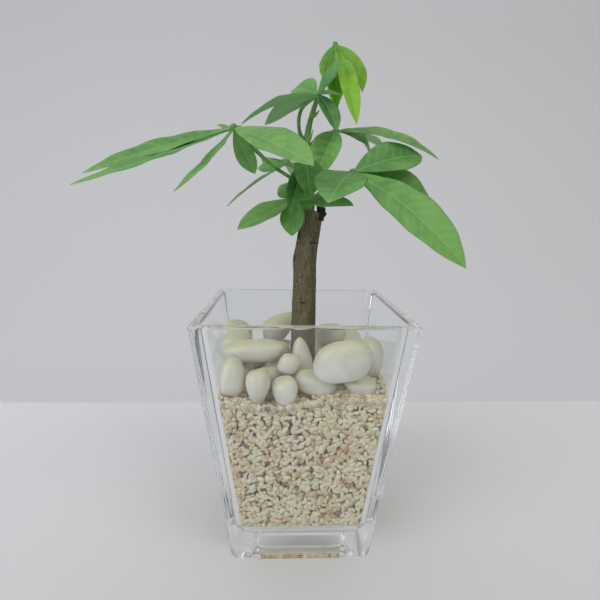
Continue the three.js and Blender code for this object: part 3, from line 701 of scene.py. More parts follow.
@dataclass
class GlassVase:
    """A tapered square vase of pressed glass with a thick clear foot, hollowed a little underneath."""

    height: float = 124
    top_width: float = 100
    foot_width: float = 70
    wall: float = 4.5
    floor: float = 13
    top_corner: float = 2.5
    foot_corner: float = 5.5
    foot_round: float = 3
    rim_round: float = 1.2
    inner_corner: float = 6
    floor_round: float = 10
    recess_width: float = 50
    recess_corner: float = 8
    recess_depth: float = 3
    recess_slope: float = 3
    arc_steps: int = 40  # enough to bend what lies behind a corner smoothly
    side_steps: int = 12
    row_every: float = 4.0
    round_rows: int = 12  # in each round edge and over the floor
    slope_rows: int = 8

    def half(self, z: Array | float) -> Array | float:
        """Half the outside width at a height."""
        return (self.foot_width + (self.top_width - self.foot_width) * z / self.height) / 2

    def inside(self, z: Array | float) -> Array | float:
        """Half the inside width at a height.

        Above the floor's round it is the outside's less the wall, and in the round a quarter
        circle's inset less.

        Args:
            z: The height.

        Returns:
            Half the width.
        """
        start = self.floor + self.floor_round
        below = np.clip((start - z) / self.floor_round, 0, 1)
        return self.half(np.maximum(z, start)) - self.wall - self.floor_round * (1 - np.sqrt(1 - below**2))

    def square(self, half: Array, corner: Array | float, z: Array | float) -> Array:
        """Square rings with round corners.

        A point is the corner circle's centre times a plain square's point plus the corner's radius times
        an arc's point, for one quarter, which is then turned four times.

        Args:
            half: Half the width of each ring.
            corner: Its corner radius.
            z: Its height.

        Returns:
            Points by ring and by place.
        """
        arc = np.linspace(0, np.pi / 2, self.arc_steps + 1)
        side = np.linspace(0, 1, self.side_steps + 1)[1:-1]
        centre_x = np.concatenate([np.ones_like(arc), 1 - 2 * side])
        round_x = np.concatenate([np.cos(arc), np.zeros_like(side)])
        round_y = np.concatenate([np.sin(arc), np.ones_like(side)])
        half, corner, z = (part[:, None] for part in np.broadcast_arrays(half, corner, z))
        x = (half - corner) * centre_x + corner * round_x
        y = half - corner + corner * round_y
        return np.concatenate([
            np.stack([a, b, z + 0 * a], -1) for a, b in ((x, y), (-y, x), (-x, -y), (y, -x))], axis=1)

    def profile(self) -> list[Array]:
        """Follows the glass from under the foot, up outside, over the rim and down to the inside floor.

        The hollow's slope eases from its depth to nothing, each round edge is a quarter circle, and
        the walls are straight.

        Returns:
            Half-width, corner radius and height of each ring.
        """
        recess, edge, outer = self.recess_width / 2, self.half(self.foot_round), self.half(self.height)
        top, bend = self.height - self.rim_round, self.floor + self.floor_round
        quarter = np.linspace(0, np.pi / 2, self.round_rows)
        under = np.linspace(0.1, 1, 10) * (recess - self.recess_slope)
        slope = np.linspace(0, 1, self.slope_rows)[1:]
        outwards = self.recess_slope * (1 - slope)
        flat = np.linspace(recess, edge - self.foot_round, 5)[1:-1]
        toe, lip = self.foot_round * (1 - np.sin(quarter)), self.rim_round * (1 - np.cos(quarter))
        wall = np.arange(self.foot_round + self.row_every, top, self.row_every)
        wall_corner = self.foot_corner + (self.top_corner - self.foot_corner) * wall / self.height
        lip_height = top + self.rim_round * np.sin(quarter)
        down = np.concatenate([np.arange(top - self.row_every, bend, -self.row_every),
                               bend - self.floor_round * np.sin(quarter)])
        last = self.inside(self.floor) * np.linspace(0.95, 0.05, self.round_rows)
        rows = [
            (under, np.minimum(self.recess_corner - self.recess_slope, under), self.recess_depth),
            (recess - outwards, self.recess_corner - outwards, self.recess_depth * (1 - ease(slope, 0, 1))),
            (flat, self.foot_corner, 0.0),
            (edge - toe, self.foot_corner - toe, self.foot_round * (1 - np.cos(quarter))),
            (self.half(wall), wall_corner, wall),
            (outer - lip, self.top_corner - lip, lip_height),
            (outer - self.wall + lip[::-1], self.inner_corner, lip_height[::-1]),
            (self.inside(down), self.inner_corner, down),
            (last, np.minimum(self.inner_corner, last), self.floor),
        ]
        return [np.concatenate(part) for part in zip(*(np.broadcast_arrays(*row) for row in rows))]

    def dress(self) -> None:
        """Makes the glass."""
        glass = skin(self.square(*self.profile()))
        place_piece("vase_glass", glass, PressedGlass("clear pressed glass"), ("vase",))

    def keep_inside(self, points: Array, clearance: float) -> Array:
        """Moves what would cross the glass back to its inner face.

        The inner face at a height is a square with round corners. A point's depth past it is its distance
        from the inner square of the corners' centres less the corner's radius.

        Args:
            points: Points anywhere.
            clearance: The gap that is left to the glass.

        Returns:
            The points, none nearer to the glass than the clearance.
        """
        kept = points.copy()
        kept[..., 2] = np.maximum(kept[..., 2], self.floor + clearance)
        past = np.abs(kept[..., :2]) - (self.inside(kept[..., 2]) - self.inner_corner)[..., None]
        outside = np.maximum(past, 0)
        depth = np.linalg.norm(outside, axis=-1) + np.minimum(past.max(-1), 0) - self.inner_corner + clearance
        straight = np.stack([past[..., 0] >= past[..., 1], past[..., 0] < past[..., 1]], -1).astype(float)
        away = np.where(outside.sum(-1, keepdims=True) > 0, unit(outside), straight)
        kept[..., :2] -= np.sign(kept[..., :2]) * away * np.maximum(depth, 0)[..., None]
        return kept


# ---------------------------------------------------------------- pebbles


@dataclass
class Pebble:
    """One tumbled stone.

    Attributes:
        half: Its half-sizes.
        turn: Its turn about Z in degrees.
        tilt: Its tilt about Y in degrees.
        taper: How much narrower its lower part is than its upper part.
    """

    half: Place
    turn: float = 0
    tilt: float = 0
    taper: float = 0


@dataclass
class PebbleBed:
    """The white stones on the gravel, in the order in which they were laid."""

    stones: list[Pebble] = field(default_factory=lambda: [
        Pebble((6.2, 6.8, 9.8), 10, 6, -0.2), Pebble((5.2, 6.0, 8.8), 0, -4, 0.5),
        Pebble((5.4, 6.2, 7.2), 10, -10, 0.3), Pebble((9.8, 6.4, 5.6), -2, 10),
        Pebble((7.4, 7.0, 4.5), 0, 4, 0.3), Pebble((10, 7.4, 7.2), 75, 0, 0.1),
        Pebble((6.6, 9, 10.6), 8), Pebble((9, 10.5, 7.0), 15),
        Pebble((11.5, 8.6, 7.0), 5, 0, 0.2), Pebble((11, 8.4, 6.4), -10, 0, -0.2),
        Pebble((8.8, 8.8, 5.8), 0, 6, 0.2), Pebble((9.2, 7.4, 6.8), 40),
        Pebble((6.8, 6.8, 7.0)), Pebble((7.4, 7.0, 6.4)), Pebble((8.4, 5.6, 4.8)), Pebble((7.8, 8.2, 7.4)),
        Pebble((7.8, 7.4, 6.8), 35), Pebble((5.6, 5.2, 12.6), 0, 0, -0.45),
        Pebble((6.2, 5.6, 4.8), 20, -10), Pebble((5.0, 4.8, 5.4), 0, 20),
        Pebble((12.9, 6.4, 9.8), 3), Pebble((14.2, 6.6, 5.4), 4, -3, 0.2),
        Pebble((8.2, 6.8, 4.6), 70), Pebble((7.6, 9, 5.0), 10, 10, -0.2),
        Pebble((6.6, 5.2, 4.4), 10, -16), Pebble((12, 8, 7.2), 8, -16), Pebble((9.6, 8, 5.6), -16),
    ])
    squareness: float = 2.6  # 2 gives an ellipsoid, more gives broad faces with rounded edges between them
    lobe: float = 0.08  # how far one side stands out beyond another
    lobe_steps: tuple[float, float] = (7.3, 2.1)  # radians from stone to stone and from lobe to lobe
    rows: int = 40
    columns: int = 64
    ripple: float = 0.18  # height of the soft unevenness that tumbling left
    ripple_size: float = 6.0
    ripple_start: float = 9.5
    bare: float = 0.6  # grains are left out where the box's ellipsoid, as a squared share, is below this

    def reach(self, index: int, d: Array) -> Array:
        """How far a stone stands out.

        The sum of the powers of a direction's parts gives a squarish ball. It is narrower below by
        the taper, which works most half way down, and six lobes of a fixed pattern make each stone
        different.

        Args:
            index: The stone's number from 0.
            d: Directions of length one.

        Returns:
            The reach in each direction, as a share of the half-sizes.
        """
        x, y, z = d[..., 0], d[..., 1], d[..., 2]
        ball = (np.abs(d) ** self.squareness).sum(-1) ** (-1 / self.squareness)
        stones, lobes = self.lobe_steps
        size = [self.lobe * math.sin(stones * index + lobes * k) for k in range(1, 7)]
        uneven = (2 * (size[0] * x * y + size[1] * y * z + size[2] * z * x)
                  + size[3] * x**3 + size[4] * y**3 + 0.6 * size[5] * z**3)
        return ball * (1 + self.stones[index].taper * z * (1 - z * z) + uneven)

    def stone(self, index: int, middle: Array) -> Patch:
        """One stone's surface: a sphere's directions times lobes and half-sizes, tilted, turned and moved.

        Args:
            index: The stone's number from 0.
            middle: The middle of its packed box.

        Returns:
            The surface.
        """
        stone = self.stones[index]
        polar = ((np.arange(self.rows) + 0.5) / self.rows * np.pi)[:, None]
        round_ = np.arange(self.columns) / self.columns * 2 * np.pi
        d = np.stack([np.sin(polar) * np.cos(round_), np.sin(polar) * np.sin(round_),
                      -np.cos(polar) + 0 * round_], -1)
        half = np.array(stone.half)
        ripple = self.ripple * (Relief(50 + index).at(d * half / self.ripple_size + self.ripple_start) - 0.5)
        points = d * (half * self.reach(index, d)[..., None] + ripple[..., None])
        for angle, axis in ((stone.tilt, "Y"), (stone.turn, "Z")):
            points = points @ np.array(Matrix.Rotation(math.radians(angle), 3, axis)).T
        return skin(points - (points.min((0, 1)) + points.max((0, 1))) / 2 + middle)

    def dress(self) -> None:
        """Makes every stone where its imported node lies."""
        quartz = TumbledQuartz("tumbled white quartz")
        for index in range(len(self.stones)):
            number = f"{index + 1:02d}"
            patch = self.stone(index, packed_box(f"pebble_{number}")[0])
            place_piece(f"white_stone_{number}", patch, quartz, (f"pebble_{number}",))

    def covers(self, points: Array) -> Array:
        """True for points well inside one of the stones' packed boxes, as ellipsoids."""
        boxes = [packed_box(f"pebble_{index + 1:02d}") for index in range(len(self.stones))]
        return np.any([
            (((points - middle) / half) ** 2).sum(1) < self.bare for middle, half in boxes], axis=0)


# ---------------------------------------------------------------- gravel


def shaken(random: np.random.Generator, across: Array, up: Array, spacing: float,
           shake: Array | float) -> tuple[Array, Array]:
    """A grid's points, each moved at random by up to half a step either way.

    Args:
        random: Gives the draws, first all those across and then all those up.
        across: The grid's lines across.
        up: Its lines up.
        spacing: The step across.
        shake: The step up, for all lines or for each.

    Returns:
        The points' places across and up.
    """
    x, y = np.meshgrid(across, up)
    x = x + random.uniform(-0.5, 0.5, x.shape) * spacing
    y = y + random.uniform(-0.5, 0.5, y.shape) * shake
    return x.ravel(), y.ravel()


@dataclass
class GravelBed:
    """Crushed coral: a rough core, and loose grains that lie against the glass and on top."""

    vase: GlassVase
    pebbles: PebbleBed
    top: float = 86
    rise: float = 0.04
    dish: float = 0.0015
    swell: float = 1.6  # how far the surface heaves
    swell_run: tuple[float, float] = (9, 11)  # over these lengths along X and Y
    spacing: float = 2.05  # from one outer grain to the next
    inner_spacing: float = 2.3
    top_inner_spacing: float = 2.6
    length: tuple[float, float] = (1.25, 2.55)  # half-lengths of the grains, least and most
    length_lean: float = 2.1  # their usual half-length is the sum of those two over this
    slimness: tuple[float, float] = (0.48, 0.85)  # thickness as a share of length
    flatness: tuple[float, float] = (0.7, 1.0)  # the lesser thickness as a share of the greater
    lie: float = 0.72  # how nearly a grain lies flat to the open side, from 0 to 1
    shapes: int = 40
    rings: tuple[float, ...] = (0.07, 0.27, 0.5, 0.73, 0.93)  # a grain's rings, as shares of its length
    sides: int = 6
    gap: float = 0.12  # between a grain and the glass
    depth: float = 0.95  # how far behind the glass the outer grains' middles lie
    inner_depth: float = 2.5
    top_depth: float = 0.4
    top_inner_depth: float = 1.8
    core_inset: float = 3.0
    core_corner: float = 5.0
    core_depth: float = 2.4
    core_lump: float = 1.7
    core_relief: float = 0.6

    def surface_at(self, x: Array, y: Array) -> Array:
        """Height of the gravel: it climbs to the right and to both sides, with shallow waves."""
        swell = self.swell * np.sin(x / self.swell_run[0]) * np.cos(y / self.swell_run[1])
        return self.top + self.rise * x + self.dish * x * x - swell

    @functools.cached_property
    def stock(self) -> Patch:
        """The stock of grain shapes: bent, knobbly sticks of five rings with six sides.

        A ring's radius is the sine of pi times its place, to the power 0.55, times random knobs.

        Returns:
            The points by shape, and the faces of one shape, which fit them all.
        """
        random = np.random.default_rng(5)
        places = np.array(self.rings)
        angles = np.arange(self.sides) / self.sides * 2 * np.pi
        grid = (self.shapes, len(places), self.sides)
        radius = (np.sin(places * np.pi) ** 0.55)[None, :, None] * random.uniform(0.8, 1.2, grid)
        from_middle = (2 * places - 1)[None, :, None]
        bend = random.uniform(-0.2, 0.2, (self.shapes, 2))[:, None] * from_middle**2
        length = from_middle + random.uniform(-0.08, 0.08, grid)
        across, up = radius * np.cos(angles) + bend[..., :1], radius * np.sin(angles) + bend[..., 1:]
        grains = np.stack([length, across, up], -1)
        patches = [skin(grain) for grain in grains]
        return Patch(np.stack([patch.points for patch in patches]), patches[0].quads, patches[0].triangles)

    def scatter(self, centres: Array, facing: Array, seed: int, shade: float) -> Patch:
        """Lays one grain at each centre.

        Args:
            centres: The grains' middles.
            facing: The direction of the open side there, which most grains lie flat to.
            seed: Start of the random draw.
            shade: How dark the grains are painted, as painted shading for lying deeper in the gravel, from 0
                to 1.

        Returns:
            All the grains, none in the glass.
        """
        random = np.random.default_rng(seed)
        count = len(centres)
        shape = self.stock.points[random.integers(0, self.shapes, count)]
        long_way = random.normal(size=(count, 3))
        long_way = unit(long_way - self.lie * np.einsum("ij,ij->i", long_way, facing)[:, None] * facing)
        side = unit(np.cross(long_way, random.normal(size=(count, 3))))
        length = random.triangular(self.length[0], sum(self.length) / self.length_lean, self.length[1], count)
        thick = length * random.uniform(*self.slimness, count)
        flat = thick * random.uniform(*self.flatness, count)
        axes = ((length, long_way), (thick, side), (flat, np.cross(long_way, side)))
        points = centres[:, None] + sum(
            shape[..., k:k + 1] * (size[:, None] * axis)[:, None] for k, (size, axis) in enumerate(axes))
        each = shape.shape[1]
        step = (np.arange(count) * each)[:, None, None]
        tone = np.repeat(random.uniform(0.05, 1.0, count), each)
        # painted shading for each grain, a little different from grain to grain
        dark = np.repeat(np.clip(shade + random.uniform(-0.12, 0.12, count), 0, 1), each)
        points = self.vase.keep_inside(points, self.gap)
        return Patch(points.reshape(-1, 3), (self.stock.quads + step).reshape(-1, 4),
                     (self.stock.triangles + step).reshape(-1, 3), {"tone": tone, "shade": dark})

    def wall_places(self, side: int, spacing: float, depth: float, seed: int) -> tuple[Array, Array]:
        """Spreads places over one wall of the gravel: a shaken grid, cut off at the gravel's surface.

        Args:
            side: Which wall: 0 front, 1 right, 2 back, 3 left.
            spacing: Distance between places.
            depth: How far they lie behind the glass.
            seed: Start of the random draw.

        Returns:
            The places and the outward direction at each.
        """
        low, high, bend = self.vase.floor + 0.4, self.top + 6, self.vase.floor_round
        # rows climb the floor's round by equal arcs, from just off the floor, and then the straight wall
        turn = np.arange(0.3, np.pi / 2, spacing / bend)
        straight = np.arange(self.vase.floor + bend, high, spacing)
        levels = np.concatenate([self.vase.floor + bend * (1 - np.cos(turn)), straight])
        shake = np.concatenate([np.sin(turn), np.ones_like(straight)])[:, None] * spacing
        widest = self.vase.inside(high)
        across, up = shaken(
            np.random.default_rng(seed), np.arange(-widest, widest, spacing), levels, spacing, shake)
        up = np.maximum(up, low)
        half = self.vase.inside(up)
        kept = np.abs(across) < half - 0.5  # short of the corner
        x, y = across[kept], (depth - half)[kept]
        cosine, sine = math.cos(side * math.pi / 2), math.sin(side * math.pi / 2)
        places = np.stack([x * cosine - y * sine, x * sine + y * cosine, up[kept]], -1)
        places = places[places[:, 2] < self.surface_at(places[:, 0], places[:, 1])]
        return places, np.tile([sine, -cosine, 0.0], (len(places), 1))

    def top_places(self, spacing: float, depth: float, seed: int) -> tuple[Array, Array]:
        """Spreads places over the gravel's surface, leaving out those that a stone covers.

        Args:
            spacing: Distance between places.
            depth: How far they lie below the surface.
            seed: Start of the random draw.

        Returns:
            The places and the outward direction at each.
        """
        random = np.random.default_rng(seed)
        half = self.vase.inside(self.top)
        line = np.arange(-half, half, spacing)
        x, y = shaken(random, line, line, spacing, spacing)
        z = self.surface_at(x, y) - depth + random.uniform(-0.5, 0.5, len(x))
        places = np.stack([x, y, z], -1)
        places = places[~self.pebbles.covers(places)]
        return places, np.tile([0.0, 0.0, 1.0], (len(places), 1))

    def floor_places(self, spacing: float, depth: float, seed: int) -> tuple[Array, Array]:
        """Spreads places over the vase's floor.

        Args:
            spacing: Distance between places.
            depth: How far they lie above it.
            seed: Start of the random draw.

        Returns:
            The places and the outward direction at each.
        """
        low = self.vase.floor + depth
        half = self.vase.inside(low)
        line = np.arange(-half, half, spacing)
        x, y = shaken(np.random.default_rng(seed), line, line, spacing, spacing)
        return np.stack([x, y, np.full(len(x), low)], -1), np.tile([0.0, 0.0, -1.0], (len(x), 1))

    def core(self) -> Patch:
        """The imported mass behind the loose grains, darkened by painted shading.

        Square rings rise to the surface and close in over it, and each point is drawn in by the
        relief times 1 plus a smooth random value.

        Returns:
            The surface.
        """
        # from just off the floor to below the lowest of the surface
        levels = np.linspace(self.vase.floor + 2.5, self.top - 4, 24)
        inward = np.linspace(1, 0.05, 20)
        walls = self.vase.square(self.vase.inside(levels) - self.core_inset, self.core_corner, levels)
        lids = self.vase.square(
            (self.vase.inside(self.top) - self.core_inset) * inward, self.core_corner * inward, 0.0)
        lids[..., 2] = self.surface_at(lids[..., 0], lids[..., 1]) - self.core_depth
        rings = np.concatenate([walls, lids])
        rough = Relief(8).at(rings / self.core_lump)[..., None] + 1
        rings[..., :2] *= 1 - self.core_relief * rough / (self.vase.foot_width / 2)
        # painted shading of 0.3 darkens the core, which is seen only in the gaps between grains
        return skin(rings, tone=0.05, shade=0.3)

    def dress(self) -> None:
        """Makes the core and the grains of each wall, of the top and of the floor."""
        coral = CrushedCoral("crushed coral")
        # the floor's grains glow with painted light, for light that the thick foot gathers under them
        under = CrushedCoral("crushed coral, under, painted glow", glow=0.26)
        place_piece("gravel_core", self.core(), coral, ("gravel",))
        for side, name in enumerate(("front", "right", "back", "left")):
            outer = self.scatter(*self.wall_places(side, self.spacing, self.depth, 20 + side), 30 + side, 0.0)
            # the inner layers are darkened by painted shading, 0.2 on the walls and 0.25 on top
            inner = self.scatter(
                *self.wall_places(side, self.inner_spacing, self.inner_depth, 40 + side), 50 + side, 0.2)
            place_piece(f"gravel_{name}", join([outer, inner]), coral)
        outer = self.scatter(*self.top_places(self.spacing, self.top_depth, 61), 62, 0.0)
        # the top's inner layer has painted shading of 0.25
        inner = self.scatter(*self.top_places(self.top_inner_spacing, self.top_inner_depth, 63), 64, 0.25)
        place_piece("gravel_top", join([outer, inner]), coral)
        foot = self.scatter(*self.floor_places(self.spacing, self.depth, 71), 72, 0.0)
        place_piece("gravel_foot", foot, under)


# ---------------------------------------------------------------- trunk and shoot


@dataclass
class Trunk:
    """The cut trunk with its bark, leaf scars and the dead, splintered stump of a twig at its top."""

    route: Array = field(default_factory=lambda: np.array([
        [1.0, 0, 50, 6.2], [1.1, 0, 75, 6.5], [1.1, 0, 102, 6.4], [1.2, 0, 116, 6.3], [1.3, 0, 126, 6.15],
        [1.4, 0, 140, 5.9], [1.7, 0, 149, 5.9], [3.0, 0, 160, 5.5], [4.2, 0, 168, 5.5], [4.5, 0, 172, 5.4]]))
    sides: int = 150
    step: float = 0.3
    mean_radius: float = 5.4
    # leaf scars: height, direction round the trunk in degrees, width round, height and depth
    scars: tuple[tuple[float, ...], ...] = (
        (160.0, 205, 1.3, 1.6, 0.7), (156.5, 190, 1.0, 1.0, 0.5), (148.5, 195, 0.8, 1.2, 0.5),
        (144.0, 190, 0.7, 1.0, 0.4), (156.5, 300, 2.4, 0.45, 0.5), (139.0, 182, 0.7, 0.6, 0.3),
        (126.0, 260, 1.2, 0.4, 0.25), (163.0, 80, 1.6, 0.9, 0.5), (134.0, 95, 1.8, 0.6, 0.4))
    scar_lip: float = 0.6  # a scar is hollow where its mark is stronger than this, and raised round that
    cut: float = 0.5  # how far the cut top lies below the bark's edge
    cut_rings: tuple[float, ...] = (0.86, 0.7, 0.5, 0.25)
    ragged: float = 0.7
    stump_at: Place = (8.3, -2.2, 169.2)
    # splinters: how far each leans out, its height and its radius
    splinters: tuple[tuple[float, float, float], ...] = (
        (0.2, 6.0, 2.3), (1.6, 6.9, 1.6), (2.6, 4.9, 1.4), (3.5, 2.2, 1.0), (-1.0, 6.2, 1.4), (0.7, 7.4, 1.0))

    def bark(self, along: Array, angle: Array) -> Array:
        """How far the bark stands out.

        Two sines of three and five waves a turn, which wind up the trunk, give slow swellings.
        Smooth random values on the round trunk's own points give lengthwise ridges and, at a
        smaller scale, fine grain.

        Args:
            along: The place along the trunk from 0 to 1.
            angle: The angle round it.

        Returns:
            Millimetres beyond the radius.
        """
        # the trunk as a drum of 3.2 by 14 lattice steps, whose steps are shorter for the ridges and the grain
        round_ = np.stack(np.broadcast_arrays(np.cos(angle) * 3.2, np.sin(angle) * 3.2, along * 14), -1)
        slow = 0.123 * np.sin(3 * angle + 17 * along) + 0.0738 * np.sin(5 * angle - 31 * along)
        ridges = Relief(12).at(round_ * [1.4, 1.4, 1.0])
        grain = Relief(13).at(round_ * [3.4, 3.4, 6.0] + 5)
        return slow + 0.22 * ridges + 0.1 * grain

    def dress(self) -> None:
        """Makes the bark with its scars, the cut top and the splinters.

        A scar's mark falls from 1 in its middle to 0 as the exponential of its distance's cube.
        """
        rings, places, _ = tube(self.route, self.sides, self.step, self.bark)
        outwards = unit(rings - rings.mean(1, keepdims=True))
        scar = np.zeros(rings.shape[:2])
        bearing = np.arctan2(outwards[..., 1], outwards[..., 0])
        for height, degrees, width, tall, deep in self.scars:
            turn = np.angle(np.exp(1j * (bearing - math.radians(degrees)))) * self.mean_radius
            mark = np.exp(-((turn / width) ** 2 + ((rings[..., 2] - height) / tall) ** 2) ** 1.5)
            scar = np.maximum(scar, mark)
            rings += outwards * (2 * deep * mark * (self.scar_lip - mark))[..., None]
        edge = ease(places, 0.985, 1.0)[:, None]  # 1 at the cut and 0 a little below it
        rings[..., 2] += edge * Relief(21).at(outwards[-1] * [4, 4, 0]) * self.ragged
        rim, middle = rings[-1], rings[-1].mean(0)
        lid = middle + (rim - middle) * np.array(self.cut_rings)[:, None, None]
        lid[..., 2] = np.minimum(lid[..., 2], middle[2]) - self.cut
        # the wood darkens towards the cut and is half as dark as a scar on it
        scar = np.concatenate([np.maximum(scar, 0.35 * edge), np.full(lid.shape[:2], 0.5)])
        trunk = skin(np.concatenate([rings, lid]), scar=scar)
        bark = GreyBark("young grey bark")
        place_piece("trunk_bark", join([trunk, *self.stump()]), bark, ("trunk",))

    def stump(self) -> list[Patch]:
        """The stump: a short dead stub and torn splinters, each a knotty tube that leans out in a bend.

        Returns:
            One surface for each splinter.
        """
        random = np.random.default_rng(77)
        found = []
        for lean, height, radius in self.splinters:
            foot = self.stump_at + np.array([random.uniform(-0.7, 0.3), random.uniform(-0.9, 0.9), -1.5])
            tip = self.stump_at + np.array([lean, random.uniform(-1.2, 1.0), height])
            bend = (foot + tip) / 2 + [0.5, 0, 0.6]
            route = np.array([[*foot, radius], [*bend, radius * 0.85], [*tip, 0.4]])
            knots = Relief(int(100 + 10 * height))
            rings, _, _ = tube(route, 18, self.step, lambda along, angle: 0.2 * radius * knots.at(
                np.stack(np.broadcast_arrays(np.cos(angle) * 1.5, np.sin(angle) * 1.5, along * 3), -1)))
            found.append(skin(rings, scar=0.92))
        return found


@dataclass
class Shoot:
    """The green shoot that grows from the trunk's top, with small pointed scales at its joints."""

    route: Array = field(default_factory=lambda: np.array([
        [2.7, 0, 171.2, 3.2], [2.4, 0, 178, 3.2], [2.0, 0, 186, 2.9], [1.5, 0, 198, 2.1], [1.6, 1, 207, 1.5],
        [3.0, 3, 215, 1.25], [6.0, 4, 225, 1.15], [9.0, 5, 232, 1.1], [11.6, 5.5, 239, 1.0]]))
    joints: tuple[float, ...] = (174.5, 181, 188.5, 202, 213, 226)  # heights of the swellings
    joint_length: float = 1.1
    joint_swell: float = 0.1
    rib: float = 0.05
    scales: tuple[tuple[Place, Place], ...] = (  # the foot and the tip of each
        ((1.6, -0.2, 205), (4.4, -3, 211)), ((0.2, 1, 206), (-2.6, -1, 212)), ((3.9, 3, 218), (7.6, 2, 221)),
        ((4.5, -1, 181), (6.6, -4.4, 186)), ((10.4, 5, 237), (10.2, 2.4, 244)))
    scale_radius: float = 1.1
    scale_sag: float = 0.5

    def dress(self) -> None:
        """Makes the stem with a swelling at each joint, and its scales."""
        stem, _, _ = tube(self.route, 36, 0.5, lambda along, angle: self.rib * np.cos(6 * angle) + 0 * along)
        middle = stem.mean(1, keepdims=True)
        swell = sum(np.exp(-((middle[..., 2] - joint) / self.joint_length) ** 2) for joint in self.joints)
        pieces = [skin(middle + (stem - middle) * (1 + self.joint_swell * swell[..., None]))]
        for foot, tip in np.array(self.scales):
            bend = (foot + tip) / 2 - [0, 0, self.scale_sag]
            route = np.array([[*foot, self.scale_radius], [*bend, self.scale_radius * 0.8], [*tip, 0.15]])
            pieces.append(skin(tube(route, 16, 0.4)[0]))
        place_piece("shoot_stem", join(pieces), YoungStem("young green stem"), ("shoot",))


# ---------------------------------------------------------------- leaves


@dataclass
class Leaflet:
    """One blade of a palmate leaf.

    Attributes:
        tip: Where it ends.
        width: Its greatest width.
        face: The way its upper side looks.
        bow: How far the rib arches over the straight line to the tip.
        fold: The angle in degrees by which each half is raised.
        ribbed: How strongly the skin bulges between the side veins, in millimetres.
    """

    tip: Place
    width: float
    face: Place
    bow: float
    fold: float
    ribbed: float = 0.07


